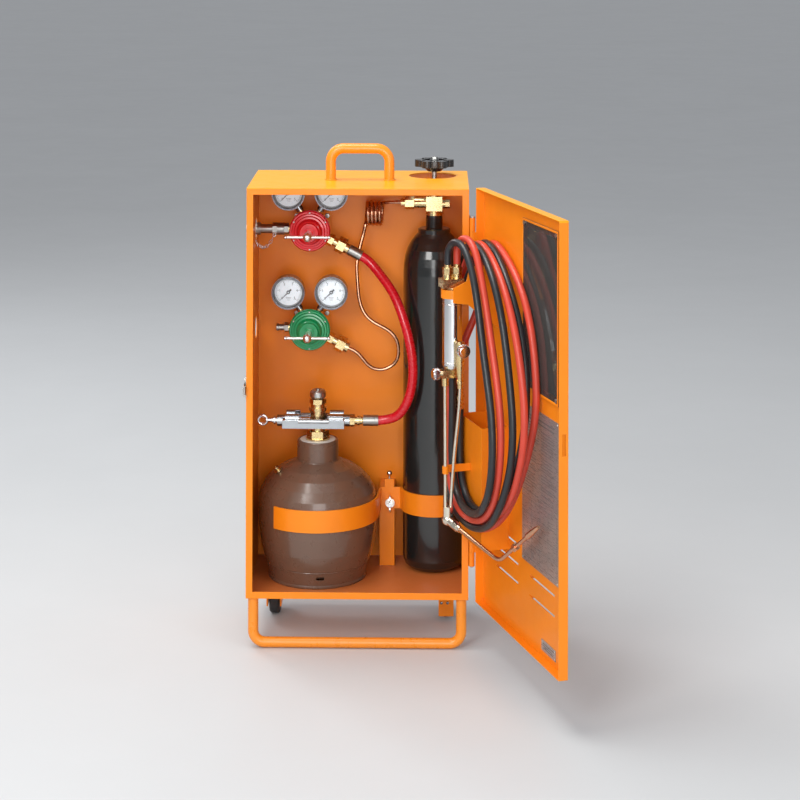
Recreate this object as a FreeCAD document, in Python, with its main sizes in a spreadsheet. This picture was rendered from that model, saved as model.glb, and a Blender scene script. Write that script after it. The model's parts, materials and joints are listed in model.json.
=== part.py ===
import FreeCAD, Part
import math, os
import Sketcher
from FreeCAD import Vector, Placement, Rotation

# Portable gas welding set: a sheet steel cabinet with a hinged door, standing on a
# bent tube foot and two rear wheels. It holds an oxygen and an acetylene cylinder,
# two regulators and their pipework. The torch and its twin hose hang inside the door.
#
# Frame: +Z up, ground at Z = 0, origin under the centre of the cabinet's footprint,
# the cabinet's front faces -Y. Working coordinates are (x, y, z): x from the cabinet's
# centre line, y from its front face, z from its floor level; pos() turns them into the
# frame. Door coordinates are (u, n, z): u from the hinge side, n outwards from the
# door's lip, so contents inside the door have negative n. Door pieces are built with
# the door closed and then swung open.

doc = FreeCAD.newDocument("gas_welding_cabinet")
sheet = doc.addObject("Spreadsheet::Sheet", "dims")
dim = {}
alias_of = {"piece": "", "count": 0}    # names the cells of the piece being built


def cell(alias, value):
    """Add one plain-number cell with an alias."""
    address = "A%d" % (len(dim) + 1)
    sheet.set(address, "%.6g" % value)
    sheet.setAlias(address, alias)
    dim[alias] = value


DRIVING = dict(
    cab_width=370, cab_depth=230, cab_height=682, sheet_thk=1.5, flange_wide=11,
    ground_gap=85, tube_od=17.3, tube_wall=1.6,
    door_width=370, door_height=686, door_deep=15, door_skin=1.2, door_lip_gap=0.5,
    door_low=-2, hinge_x=190.5, hinge_y=4, door_open_angle=108.56,
    top_hole_dia=82, side_hole_dia=38, handle_span=100, handle_rise=54, foot_span=347,
    wheel_dia=75, wheel_wide=18, wheel_x=149, wheel_y=188, axle_dia=8,
    oxy_x=127, oxy_y=174, oxy_r=53.5, ace_x=-72.4, ace_y=127, ace_r=101.5,
    reg_x=-89, reg_y=178, red_z=586.5, green_z=414.5, bonnet_r=35,
    gauge_r=28.7, gauge_rim=1.5, gauge_dx=37.3, gauge_dz=64.5,
    hose_r=5.9, supply_hose_r=8, pigtail_r=3.1, band_thk=3, band_tall=37, run_gap=0.05)
for name, number in DRIVING.items():
    cell(name, number)

LEFT, RIGHT = Vector(-1, 0, 0), Vector(1, 0, 0)
FRONT, BACK = Vector(0, -1, 0), Vector(0, 1, 0)
UP = Vector(0, 0, 1)

HALF_WIDTH = dim["cab_width"] / 2
HALF_DOOR = dim["door_width"] / 2
SHEET = dim["sheet_thk"]
SKIN = dim["door_skin"]
LIP_Y = -dim["door_lip_gap"]
SKIN_N = dim["door_deep"] - SKIN        # n of the door's inner skin face
RUN_GAP = dim["run_gap"]
HINGE_X, HINGE_Y = dim["hinge_x"], dim["hinge_y"]


def pos(x, y, z):
    """Working coordinates to the frame."""
    return Vector(x, y - dim["cab_depth"] / 2, z + dim["ground_gap"])


def door_pos(u, n, z):
    """Door coordinates to the frame, with the door closed."""
    return pos(HALF_DOOR - u, LIP_Y - n, z)


def around(origin):
    """A function that places points by their offset from the origin."""
    return lambda x=0, y=0, z=0: origin + Vector(x, y, z)


SWING = Placement(Vector(0, 0, 0), Rotation(UP, dim["door_open_angle"]),
                  pos(HINGE_X, HINGE_Y, 0))


# ------------------------------------------------------------------ bound sizes
def sum_of(**factors):
    """(number, expression) of a sum of driving dimensions, each times its factor."""
    number = sum(factor * dim[alias] for alias, factor in factors.items())
    terms = ["(%g) * dims.%s" % (factor, alias) for alias, factor in factors.items()]
    return number, " + ".join(terms)


def value_of(value):
    if isinstance(value, tuple):
        return value[0]
    if isinstance(value, str):
        return dim[value]
    return value


def bind(obj, prop, value):
    """Bind a size. value: number (gets its own cell), alias, or (number, expression)."""
    if isinstance(value, tuple):
        expression = value[1]
    elif isinstance(value, str):
        expression = "dims." + value
    else:
        alias_of["count"] += 1
        plain = prop.lower().replace("[", "").replace("]", "")
        alias = "%s_%03d_%s" % (alias_of["piece"], alias_of["count"], plain)
        cell(alias, value)
        expression = "dims." + alias
    obj.setExpression(prop, expression)


# ------------------------------------------------------------------ solids and booleans
def primitive(kind, name, at, axis, **sizes):
    obj = doc.addObject(kind, name)
    for prop, value in sizes.items():
        bind(obj, prop, value)
    obj.Placement = Placement(at, Rotation(UP, axis))
    return obj


def rod(radius, length, at, axis=UP):
    return primitive("Part::Cylinder", "cyl", at, axis, Radius=radius, Height=length)


def cone(radius1, radius2, length, at, axis=UP):
    return primitive("Part::Cone", "cone", at, axis,
                     Radius1=radius1, Radius2=radius2, Height=length)


def box(length, width, height, at):
    """at: the lowest corner."""
    return primitive("Part::Box", "box", at, UP, Length=length, Width=width, Height=height)


def between(a, b):
    """Box from two opposite corners."""
    low = Vector(min(a.x, b.x), min(a.y, b.y), min(a.z, b.z))
    high = Vector(max(a.x, b.x), max(a.y, b.y), max(a.z, b.z))
    return box(high.x - low.x, high.y - low.y, high.z - low.z, low)


def ball(radius, at):
    return primitive("Part::Sphere", "ball", at, UP, Radius=radius)


def ring(radius1, radius2, at, axis):
    return primitive("Part::Torus", "ring", at, axis, Radius1=radius1, Radius2=radius2)


def hexagon(flats, length, at, axis=UP):
    obj = primitive("Part::Prism", "hexagon", at, axis,
                    Circumradius=flats / math.sqrt(3), Height=length)
    obj.Polygon = 6
    return obj


def stack(origin, axis, stations):
    """Coaxial rods and hexagons: (function, radius or flats, start, length)."""
    return [build(size, length, origin + axis * start, axis)
            for build, size, start, length in stations]


def fuse(objs):
    if len(objs) == 1:
        return objs[0]
    obj = doc.addObject("Part::MultiFuse", "joined")
    obj.Shapes = objs
    obj.Refine = True
    return obj


def cut(base, *tools):
    tool = fuse(list(tools))
    obj = doc.addObject("Part::Cut", "cut")
    obj.Base = base
    obj.Tool = tool
    obj.Refine = True
    return obj


def group(objs):
    """Separate solids that share one node."""
    obj = doc.addObject("Part::Compound", "set")
    obj.Links = objs
    return obj


def feature(shape):
    """Document object for a shape; a lone solid is taken out of its compound."""
    obj = doc.addObject("Part::Feature", "shape")
    obj.Shape = shape.Solids[0] if len(shape.Solids) == 1 else shape
    return obj


# ------------------------------------------------------------------ sketched bodies
def new_sketch(body, role, offset=None):
    sketch = body.newObject("Sketcher::SketchObject", "sketch")
    plane = [f for f in body.Origin.OriginFeatures if f.Role == role][0]
    sketch.AttachmentSupport = [(plane, "")]
    sketch.MapMode = "FlatFace"
    if offset is not None:
        sketch.AttachmentOffset = Placement(Vector(0, 0, offset), Rotation())
    return sketch


def locate(sketch, geometry, vertex, x, y):
    """Dimension a point from the sketch's origin, or hold it on an axis."""
    for value, kind, axis in ((x, "DistanceX", -2), (y, "DistanceY", -1)):
        number = value_of(value)
        if abs(number) < 1e-9:
            sketch.addConstraint(Sketcher.Constraint("PointOnObject", geometry, vertex, axis))
        else:
            index = sketch.addConstraint(
                Sketcher.Constraint(kind, -1, 1, geometry, vertex, number))
            bind(sketch, "Constraints[%d]" % index, value)


def outline(sketch, corners):
    """Closed outline of straight lines in an empty sketch."""
    points = [Vector(value_of(x), value_of(y), 0) for x, y in corners]
    following = points[1:] + points[:1]
    sketch.addGeometry([Part.LineSegment(a, b) for a, b in zip(points, following)], False)
    n = len(points)
    sketch.addConstraint([Sketcher.Constraint("Coincident", i, 2, (i + 1) % n, 1)
                          for i in range(n)])
    for i, (x, y) in enumerate(corners):
        locate(sketch, i, 1, x, y)


def rectangle(sketch, left, right, low, high):
    outline(sketch, [(left, low), (right, low), (right, high), (left, high)])


def circle(sketch, x, y, radius):
    centre = Vector(value_of(x), value_of(y), 0)
    index = sketch.addGeometry(Part.Circle(centre, UP, value_of(radius)), False)
    locate(sketch, index, 3, x, y)
    constraint = sketch.addConstraint(
        Sketcher.Constraint("Radius", index, value_of(radius)))
    bind(sketch, "Constraints[%d]" % constraint, radius)


def turned_body(profile, at, axis=UP):
    """A turned part: closed (radius, height) profile revolved about its own axis."""
    body = doc.addObject("PartDesign::Body", "body")
    sketch = new_sketch(body, "XZ_Plane")
    outline(sketch, profile)
    turn = body.newObject("PartDesign::Revolution", "turn")
    turn.Profile = sketch
    turn.ReferenceAxis = (sketch, ["V_Axis"])
    turn.Angle = 360.0
    body.Tip = turn
    body.Placement = Placement(at, Rotation(UP, axis))
    return body


def pad(body, sketch, length):
    made = body.newObject("PartDesign::Pad", "pad")
    made.Profile = sketch
    bind(made, "Length", length)
    body.Tip = made
    doc.recompute()


pockets = []


def pocket(body, sketch, length, reverse=False):
    before = body.Tip
    made = body.newObject("PartDesign::Pocket", "pocket")
    made.Profile = sketch
    bind(made, "Length", length)
    made.Reversed = reverse
    body.Tip = made
    pockets.append((made, before))


# ------------------------------------------------------------------ swept rods and tubes
def line_path(points, radius):
    """Wire of straight runs joined by tangent bends."""
    edges = []
    run_start = points[0]
    for before, corner, after in zip(points, points[1:], points[2:]):
        back = Vector(before - corner).normalize()
        ahead = Vector(after - corner).normalize()
        half = back.getAngle(ahead) / 2
        bend_start = corner + back * (radius / math.tan(half))
        bend_end = corner + ahead * (radius / math.tan(half))
        middle = corner + Vector(back + ahead).normalize() * (radius / math.sin(half) - radius)
        if (bend_start - run_start).Length > 1e-6:
            edges.append(Part.LineSegment(run_start, bend_start).toShape())
        edges.append(Part.Arc(bend_start, middle, bend_end).toShape())
        run_start = bend_end
    if (points[-1] - run_start).Length > 1e-6:
        edges.append(Part.LineSegment(run_start, points[-1]).toShape())
    return Part.Wire(edges)


def smooth_path(points):
    """Smooth curve through the points, as a chain of tangent arcs."""
    curve = Part.BSplineCurve()
    curve.interpolate(points)
    return Part.Wire([arc.toShape() for arc in curve.toBiArcs(0.05)])


def round_sweep(spine, radius, bore=0.0):
    """Round rod, or tube with a bore radius, swept along a wire."""
    first = spine.OrderedEdges[0]
    at = first.valueAt(first.FirstParameter)
    along = first.tangentAt(first.FirstParameter)

    def swept(section_radius):
        section = Part.Wire([Part.Circle(at, along, section_radius).toShape()])
        # Some wires may fail with the default frame; those are swept in Frenet mode.
        try:
            return spine.makePipeShell([section], True, False)
        except Part.OCCError:
            return spine.makePipeShell([section], True, True)

    solid = swept(radius)
    if bore > 0:
        solid = solid.cut(swept(bore))
    if solid.Volume < 0:
        solid.reverse()
    return solid


# ------------------------------------------------------------------ cabinet
LATCH_Z = 341


def cabinet_shell():
    body = doc.addObject("PartDesign::Body", "cabinet")
    sketch = new_sketch(body, "XY_Plane")
    rectangle(sketch, sum_of(cab_width=-0.5), sum_of(cab_width=0.5), 0, "cab_depth")
    pad(body, sketch, "cab_height")
    # opening within the front flange
    sketch = new_sketch(body, "XZ_Plane")
    rectangle(sketch, sum_of(cab_width=-0.5, flange_wide=1),
              sum_of(cab_width=0.5, flange_wide=-1),
              "flange_wide", sum_of(cab_height=1, flange_wide=-1))
    pocket(body, sketch, sum_of(cab_depth=1, sheet_thk=-1))
    # hollow behind the flange
    sketch = new_sketch(body, "XZ_Plane", -SHEET)
    rectangle(sketch, sum_of(cab_width=-0.5, sheet_thk=1),
              sum_of(cab_width=0.5, sheet_thk=-1),
              "sheet_thk", sum_of(cab_height=1, sheet_thk=-1))
    pocket(body, sketch, sum_of(cab_depth=1, sheet_thk=-2))
    # round hole in the top for the oxygen valve's handwheel
    sketch = new_sketch(body, "XY_Plane", dim["cab_height"])
    circle(sketch, 124, 168, sum_of(top_hole_dia=0.5))
    pocket(body, sketch, 6)
    # two round hose outlets in the left side
    sketch = new_sketch(body, "YZ_Plane", -HALF_WIDTH)
    for height in ("red_z", "green_z"):
        circle(sketch, "reg_y", height, sum_of(side_hole_dia=0.5))
    pocket(body, sketch, 6, True)
    body.Placement = Placement(pos(0, 0, 0), Rotation())
    return body


def strap_post():
    """Folded channel standing on the cabinet's floor between the cylinders."""
    return cut(between(pos(33, 173.1, SHEET), pos(59, 228.3, 138)),
               between(pos(35, 175.1, SHEET - 1), pos(57, 229, 136)))


def bent_tube(half_span, y, end_z, bend_z, bend_radius):
    """U-shaped tube across the cabinet, both ends at end_z."""
    spine = line_path([pos(-half_span, y, end_z), pos(-half_span, y, bend_z),
                       pos(half_span, y, bend_z), pos(half_span, y, end_z)], bend_radius)
    radius = dim["tube_od"] / 2
    return feature(round_sweep(spine, radius, radius - dim["tube_wall"]))


def carry_handle():
    top = dim["cab_height"]
    return bent_tube(dim["handle_span"] / 2, 106, top, top + dim["handle_rise"], 22)


def front_foot():
    return bent_tube(dim["foot_span"] / 2, 13.5, 0, dim["tube_od"] / 2 - dim["ground_gap"], 20)


# ------------------------------------------------------------------ rear wheels
SIDES = {"left": -1, "right": 1}
WHEEL_Y = dim["wheel_y"]
AXLE_Z = dim["wheel_dia"] / 2 - dim["ground_gap"]
AXLE_R = sum_of(axle_dia=0.5)
AXLE_HOLE_R = sum_of(axle_dia=0.5, run_gap=1)
TYRE_SIDE, TYRE_SIDE_NEAR = sum_of(wheel_wide=0.5), sum_of(wheel_wide=-0.5)

# (radius, distance along the axle)
TYRE = [(24, TYRE_SIDE_NEAR), (35, TYRE_SIDE_NEAR), (37.5, -6), (37.5, 6), (35, TYRE_SIDE),
        (24, TYRE_SIDE)]
HUB = [(AXLE_HOLE_R, -10.2), (9, -10.2), (9, -5), (20, -5), (20, -8.5), (23.97, -8.5),
       (23.97, 8.5), (20, 8.5), (20, 5), (9, 5), (9, 10.2), (AXLE_HOLE_R, 10.2)]


def wheel_centre(side):
    return pos(SIDES[side] * dim["wheel_x"], WHEEL_Y, AXLE_Z)


def wheel_bracket(side):
    """Folded bracket; the right one also has a front web and a guard plate below it."""
    x = SIDES[side] * dim["wheel_x"]
    at = around(wheel_centre(side))
    plate = 2.5
    outer_x, inner_x = 13, 13 - plate
    front_y = WHEEL_Y - 42
    inner_front_y = WHEEL_Y - 60 if side == "left" else front_y + plate
    outer = between(pos(x - outer_x, front_y, -62), pos(x + outer_x, WHEEL_Y + 7, 0))
    inner = between(pos(x - inner_x, inner_front_y, -70),
                    pos(x + inner_x, WHEEL_Y + 20, -plate))
    pieces = [cut(outer, inner), rod(12, plate, at(-outer_x), RIGHT),
              rod(12, plate, at(inner_x), RIGHT)]
    if side == "right":
        pieces.append(between(pos(x - outer_x, front_y, -77),
                              pos(x + outer_x, front_y + plate, -20)))
    return cut(fuse(pieces), rod(AXLE_HOLE_R, 60, at(-30), RIGHT))


def wheel_tyre(side):
    return turned_body(TYRE, wheel_centre(side), RIGHT)


def wheel_hub(side):
    return turned_body(HUB, wheel_centre(side), RIGHT)


def wheel_axle_bolts():
    return group([fuse(stack(wheel_centre(side), RIGHT,
                             [(rod, AXLE_R, -15, 36), (hexagon, 13, -18.2, 5),
                              (hexagon, 13, 13.2, 6)])) for side in SIDES])


# ------------------------------------------------------------------ hinges
HINGE_SPANS = ((56, 126), (564, 634))   # lower and upper end of each hinge
LEAF_X = (HALF_WIDTH, HALF_WIDTH + 2)
TONGUE_X = (HALF_WIDTH, HALF_WIDTH + 2.2)
PIN_R = 3
KNUCKLE_R = 5.0


def hinge_plate(span_x, span_y, low, high):
    return between(pos(span_x[0], span_y[0], low), pos(span_x[1], span_y[1], high))


def pin_bore(low):
    return rod(PIN_R + RUN_GAP, 80, pos(HINGE_X, HINGE_Y, low - 5))


def hinge_leaves_fixed():
    """Leaves on the cabinet, each with an end knuckle at the top and at the bottom."""
    leaves = []
    for low, high in HINGE_SPANS:
        knuckle = (high - low) / 3.0 - 0.3
        leaf = hinge_plate(LEAF_X, (10.5, 36), low, high)
        starts = (low, high - knuckle)
        knuckles = [rod(KNUCKLE_R, knuckle, pos(HINGE_X, HINGE_Y, z)) for z in starts]
        tongues = [hinge_plate(TONGUE_X, (HINGE_Y, 10.6), z, z + knuckle) for z in starts]
        leaves.append(cut(fuse([leaf] + knuckles + tongues), pin_bore(low)))
    return group(leaves)


def hinge_leaves_door():
    """Leaves on the door, each with the middle knuckle."""
    leaves = []
    for low, high in HINGE_SPANS:
        third = (high - low) / 3.0
        leaf = hinge_plate(LEAF_X, (-15.5, -2.5), low, high)
        knuckle = rod(KNUCKLE_R, third, pos(HINGE_X, HINGE_Y, low + third))
        tongue = hinge_plate(TONGUE_X, (-2.6, HINGE_Y), low + third, low + 2 * third)
        leaves.append(cut(fuse([leaf, knuckle, tongue]), pin_bore(low)))
    return group(leaves)


def hinge_pins():
    return group([fuse([rod(PIN_R, 73, pos(HINGE_X, HINGE_Y, low - 2)),
                        rod(4.5, 2.5, pos(HINGE_X, HINGE_Y, high + 0.2))])
                  for low, high in HINGE_SPANS])


# ------------------------------------------------------------------ latch on the left side
def latch_plate():
    plate = between(pos(-HALF_WIDTH - 2, 6, LATCH_Z - 11), pos(-HALF_WIDTH, 15, LATCH_Z + 25))
    screws = [rod(2.4, 1.6, pos(-188.6, 10.5, LATCH_Z + dz), RIGHT) for dz in (-6, 20)]
    return fuse([plate] + screws)


def latch_spring():
    """Flat arm with a half-round nose, a round rod at its rear edge and a front pad."""
    arm_x = -187.6
    arm = between(pos(-188.6, -13.5, LATCH_Z - 3), pos(arm_x, 11.5, LATCH_Z + 16))
    nose = cut(rod(3.4, 14, pos(arm_x, -8.7, LATCH_Z - 0.5)),
               between(pos(-200, -20, LATCH_Z - 5), pos(arm_x, 5, LATCH_Z + 20)))
    root = rod(0.9, 19, pos(-188.2, 11.5, LATCH_Z - 3))
    finger_pad = between(pos(-189.8, -17, LATCH_Z + 1), pos(-188.2, -12, LATCH_Z + 12))
    return fuse([arm, nose, root, finger_pad])


# ------------------------------------------------------------------ oxygen cylinder
OXY_X, OXY_Y = dim["oxy_x"], dim["oxy_y"]
BASE_Z = SHEET + 0.05                   # both cylinders stand just clear of the floor
OXY_BASE = pos(OXY_X, OXY_Y, BASE_Z)
OXY_VALVE = OXY_BASE + UP * 611
OXY_OUTLET = OXY_VALVE + Vector(-35, 0, 21)
HANDWHEEL = OXY_BASE + UP * 692.5
OXY_SPINDLE_R = 4
OXY_BORE_R = OXY_SPINDLE_R + RUN_GAP

# (radius, height): outside going up, then inside going down
OXYGEN_WALL = [
    (0, 0), (34, 0), (43, 2.5), (50, 9), (53.5, 20), ("oxy_r", 512), (52.8, 527), (50.6, 541),
    (46.4, 554), (40.5, 565), (34, 574), (28, 580.5), (28, 587), (25, 588.5), (15, 588.5),
    (14.2, 590), (14.2, 611), (9, 611), (9, 585), (14, 579), (24, 571), (33, 561), (41, 547),
    (46.6, 531), (49.6, 518), (50.3, 505), (50.3, 21), (47, 12), (41, 6), (33, 4), (0, 4)]


def oxygen_cylinder():
    return turned_body(OXYGEN_WALL, OXY_BASE)


def oxygen_valve():
    at = around(OXY_VALVE)
    neck = stack(OXY_VALVE, UP, [(rod, 14.6, 0, 5), (rod, 8.95, -20, 20), (rod, 12, 5, 4)])
    block = between(at(-14, -13, 8), at(14, 13, 33))
    necks = [rod(11, 8, at(z=33)), rod(9, 22, at(-13, 0, 21), LEFT),
             rod(7.2, 6, at(13, 0, 19), RIGHT)]
    return cut(fuse(neck + [block] + necks),
               rod(OXY_BORE_R, 34, at(z=10)), rod(3, 26, at(-36, 0, 21), RIGHT))


def oxygen_gland_nut():
    at = around(OXY_VALVE)
    return cut(hexagon(24, 9, at(z=41)), rod(OXY_BORE_R, 30, at(z=30)))


def oxygen_safety_plug():
    return hexagon(13, 8, OXY_VALVE + Vector(19, 0, 19), RIGHT)


def oxygen_valve_spindle():
    return rod(OXY_SPINDLE_R, 89.5, OXY_VALVE + UP * 11)


def oxygen_handwheel():
    """Lobed handwheel with a ring-shaped recess in its top."""
    at = around(HANDWHEEL)
    lobes = 6
    pieces = [rod(27, 12, at(z=3)), cone(12, 20, 8, at(z=-5))]
    for i in range(lobes):
        angle = 2 * math.pi * i / lobes
        pieces.append(rod(9, 12, at(25 * math.cos(angle), 25 * math.sin(angle), 3)))
    recess = cut(rod(17, 6, at(z=12)), rod(8, 8, at(z=11)))
    return cut(fuse(pieces), rod(OXY_BORE_R, 60, at(z=-20)), recess)


def oxygen_wheel_nut():
    at = around(HANDWHEEL)
    return cut(hexagon(11, 4.5, at(z=15.1)), rod(OXY_BORE_R, 20, at(z=10)))


# ------------------------------------------------------------------ acetylene cylinder
ACE_X, ACE_Y = dim["ace_x"], dim["ace_y"]
ACE_BASE = pos(ACE_X, ACE_Y, BASE_Z)
ACE_VALVE = ACE_BASE + UP * 231
ACE_SPINDLE_R = 4.5
ACE_BORE_R = ACE_SPINDLE_R + RUN_GAP

# (radius, height): outside going up, then inside going down
ACETYLENE_WALL = [
    (0, 9), (60, 11), (80, 17), (90, 30), (96, 55), (100, 85), ("ace_r", 110), ("ace_r", 133),
    (98.5, 148), (90, 163), (78, 176), (62, 187), (44, 195), (35.5, 198.5), (35.5, 229),
    (33, 231), (14, 231), (14, 196), (40, 192), (60, 184), (75, 173), (87, 160), (95, 146),
    (98, 132), (98, 110), (96.5, 85), (92.5, 56), (87, 32), (78, 20), (60, 14.5), (0, 12.5)]
# (radius, height)
FOOT_RING = [(79.5, 0), (83.6, 0), (84.6, 1.2), (84.6, 3.5), (83.2, 5.5), (87.7, 26.8),
             (85.4, 23.9), (80.9, 6), (79.5, 3.5)]


def acetylene_cylinder():
    return turned_body(ACETYLENE_WALL, ACE_BASE)


def acetylene_foot_ring():
    """Foot ring with a round-ended slot in its front."""
    ring_body = turned_body(FOOT_RING, ACE_BASE)
    at = around(pos(ACE_X, ACE_Y, 20))
    return cut(ring_body, rod(3, 30, at(5, -70), FRONT), rod(3, 30, at(13, -70), FRONT),
               between(at(5, -100, -3), at(13, -70, 3)))


def acetylene_valve():
    at = around(ACE_VALVE)
    pieces = stack(ACE_VALVE, UP,
                   [(rod, 13.95, -30, 30), (rod, 20.5, 0, 4), (hexagon, 33, 4, 12),
                    (rod, 13, 14, 44), (rod, 15.5, 51, 5), (rod, 12.5, 57, 5)])
    return cut(fuse(pieces), rod(ACE_BORE_R, 60, at(z=40)), rod(3, 30, at(z=33), RIGHT))


def acetylene_gland_nut():
    at = around(ACE_VALVE)
    return cut(hexagon(25, 8, at(z=62.05)), rod(ACE_BORE_R, 20, at(z=58)))


def acetylene_valve_spindle():
    """Spindle with a round chamfered head."""
    at = around(ACE_VALVE)
    return fuse([rod(ACE_SPINDLE_R, 34, at(z=41)), cone(11.5, 14, 3, at(z=71)),
                 rod(14, 8, at(z=74)), cone(14, 10.5, 3.5, at(z=82)), rod(4, 2.5, at(z=85))])


def acetylene_fusible_plug():
    """Stepped boss on the dome, leaning outwards with the dome's slope."""
    lean = Vector(-0.62, -0.22, 0.75).normalize()
    seat = ACE_BASE + Vector(-63.5, -22.5, 180)
    boss = Part.makeCylinder(6.8, 3.2, seat + lean * 3.6, lean)
    tip = Part.makeCylinder(3.6, 5.5, seat + lean * 6.7, lean)
    return feature(boss.fuse(tip).removeSplitter())


# ------------------------------------------------------------------ yoke clamp
YOKE = ACE_VALVE + UP * 33


def yoke_frame():
    """Frame round the acetylene valve: block, end bosses and rounded side rails."""
    at = around(YOKE)
    pieces = [between(at(-60, -25, -9), at(46, 25, 5)),
              rod(10, 15, at(-70, 0, -0.5), RIGHT), rod(10.5, 38, at(17), RIGHT)]
    pieces += [rod(6.5, 24, at(x, y, 7), RIGHT) for y in (-17, 17) for x in (-55, 20)]
    pieces += [rod(4.2, 52, at(-32, y, 3), RIGHT) for y in (-22, 22)]
    window = [between(at(-40, -14, -15), at(17, 14, 25)),
              rod(5.05, 40, at(-76), RIGHT), rod(3, 60, at(13.5), RIGHT),
              rod(13.05, 40, at(z=-20))]
    return cut(fuse(pieces), *window)


def yoke_clamp_screw():
    """Screw with a ring-shaped eye at its left end."""
    at = around(YOKE)
    eye = around(at(-95.5))
    return cut(fuse([rod(5, 66, at(-79.2), RIGHT), ring(7.6, 3.0, eye(), BACK),
                     rod(3.6, 12, at(-89), RIGHT), rod(7.5, 3, at(-76), RIGHT)]),
               rod(4.6, 12, eye(0, -6), BACK))


def yoke_outlet():
    pieces = stack(YOKE, RIGHT, [(hexagon, 19, 55.1, 8), (rod, 7, 63, 14), (rod, 8.6, 68, 4),
                                 (rod, 3.8, 77, 20)])
    return cut(fuse(pieces), rod(2, 70, YOKE + RIGHT * 50, RIGHT))


# ------------------------------------------------------------------ regulators
REGULATOR_Z = {"acetylene": dim["red_z"], "oxygen": dim["green_z"]}
GAUGES = [(gas, level) for gas in REGULATOR_Z for level in ("low", "high")]
GAUGE_SIDE = {"low": -1, "high": 1}     # left and right of the regulator
GAUGE_DX, GAUGE_DZ = dim["gauge_dx"], dim["gauge_dz"]
INLET = Vector(math.cos(math.radians(28)), 0, -math.sin(math.radians(28)))
DIAL_R = 26

# (radius, distance forward from the body)
BONNET = [(5.05, 0), ("bonnet_r", 0), ("bonnet_r", 8), (33.5, 10), (31.5, 10), (30, 13),
          (27, 13.4), (25.6, 16.5), (22.5, 17), (19, 24), (17, 25), (17, 29), (15.5, 31),
          (9, 31), (9, 34), (5.05, 34)]


def regulator(gas):
    """Point where the inlet's and outlet's axes meet."""
    return pos(dim["reg_x"], dim["reg_y"], REGULATOR_Z[gas])


def gauge_centre(gas, level):
    return regulator(gas) + Vector(GAUGE_SIDE[level] * GAUGE_DX, -28, GAUGE_DZ)


def stem_direction(level):
    """From the regulator towards a gauge."""
    return Vector(GAUGE_SIDE[level] * (GAUGE_DX - 12), 0, GAUGE_DZ - 26).normalize()


def regulator_body(gas):
    at = around(regulator(gas))
    pieces = [rod(27, 32, at(0, -18), BACK), rod(9, 36, at(), INLET),
              rod(8, 38, at(), LEFT), rod(12, 24, at(0, 14), BACK)]
    for level, side in GAUGE_SIDE.items():
        pieces.append(rod(5.5, 26, at(side * 2.8, -10, 12), stem_direction(level)))
    return fuse(pieces)


def wall_bracket(gas):
    """Hat-section bracket behind a regulator, bored for its rear spigot."""
    at = around(regulator(gas))
    spans = (((-20, 36), (20, 38)), ((-20, 36), (-18, 50.4)), ((18, 36), (20, 50.4)),
             ((-34, 48.4), (-18, 50.4)), ((18, 48.4), (34, 50.4)))
    plates = [between(at(*near, -24), at(*far, 24)) for near, far in spans]
    return cut(fuse(plates), rod(12.05, 20, at(0, 27), BACK))


def bonnet(gas):
    return turned_body(BONNET, regulator(gas) + FRONT * 18, FRONT)


def adjusting_screw(gas):
    at = around(regulator(gas))
    return fuse([rod(5, 58, at(0, -27), FRONT), rod(7, 13, at(0, -81), FRONT),
                 ball(7.6, at(0, -93)), rod(2.3, 70, at(-35, -91.5), RIGHT)])


def inlet_nuts(gas):
    """Gland, hexagons and the nut that takes the supply line."""
    origin = regulator(gas)
    pieces = stack(origin, INLET, [(hexagon, 19, 36.05, 9), (rod, 8, 45, 9),
                                   (hexagon, 25, 53, 15), (rod, 9.5, 68, 7)])
    return cut(fuse(pieces), rod(4.5, 60, origin + INLET * 30, INLET))


def gauge_cases():
    cases = []
    for gas, level in GAUGES:
        at = around(gauge_centre(gas, level))
        stem = stem_direction(level) * -1
        case = fuse([rod("gauge_r", 26, at(), BACK),
                     rod(sum_of(gauge_r=1, gauge_rim=-1), 2, at(0, -2), BACK),
                     rod(6.5, 12, at(0, 18) + stem * (dim["gauge_r"] - 4), stem)])
        cases.append(cut(case, rod(DIAL_R, 20, at(0, -2.6), BACK)))
    return group(cases)


def gauge_dials():
    """Dial discs, each with the needle's pin."""
    return group([fuse(stack(gauge_centre(*gauge), BACK,
                             [(rod, DIAL_R - 0.1, 12, 1), (rod, 1, 6.2, 6)]))
                  for gauge in GAUGES])


def gauge_lenses():
    return group([rod(DIAL_R - 0.05, 2, gauge_centre(*gauge) + FRONT * 0.9, BACK)
                  for gauge in GAUGES])


def gauge_needle(gas, level):
    at = around(gauge_centre(gas, level))
    angle = math.radians(225)
    point = Vector(math.cos(angle), 0, math.sin(angle))
    across = Vector(-point.z, 0, point.x) * 1.5
    middle = at(0, 8.4)
    tip = middle + point * 21
    tail = middle - point * 7
    blade = Part.Face(Part.makePolygon([tip, tail + across, tail - across, tip]))
    hub = Part.makeCylinder(3.2, 1.6, at(0, 7.9), BACK)
    solid = blade.extrude(BACK * 0.7).fuse(hub)
    solid = solid.cut(Part.makeCylinder(1.05, 10, at(0, 4), BACK))
    return feature(solid.removeSplitter())


def acetylene_outlet_coupling():
    """Quick coupling on the left of the acetylene regulator."""
    at = around(regulator("acetylene"))
    pieces = stack(at(), LEFT, [(hexagon, 17, 38.05, 8), (rod, 10.5, 46, 12),
                                (hexagon, 19, 58, 8), (rod, 8, 66, 22),
                                (rod, 10.8, 87, 14), (rod, 6.5, 100, 12)])
    return cut(fuse(pieces), rod(3, 80, at(-120), RIGHT))


def oxygen_outlet_stub():
    """Short stub on the left of the oxygen regulator."""
    at = around(regulator("oxygen"))
    pieces = stack(at(), LEFT, [(hexagon, 15, 38.05, 7), (rod, 5.5, 45, 14),
                                (rod, 6.6, 55, 3)])
    return cut(fuse(pieces), rod(3, 40, at(-70), RIGHT))


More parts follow.
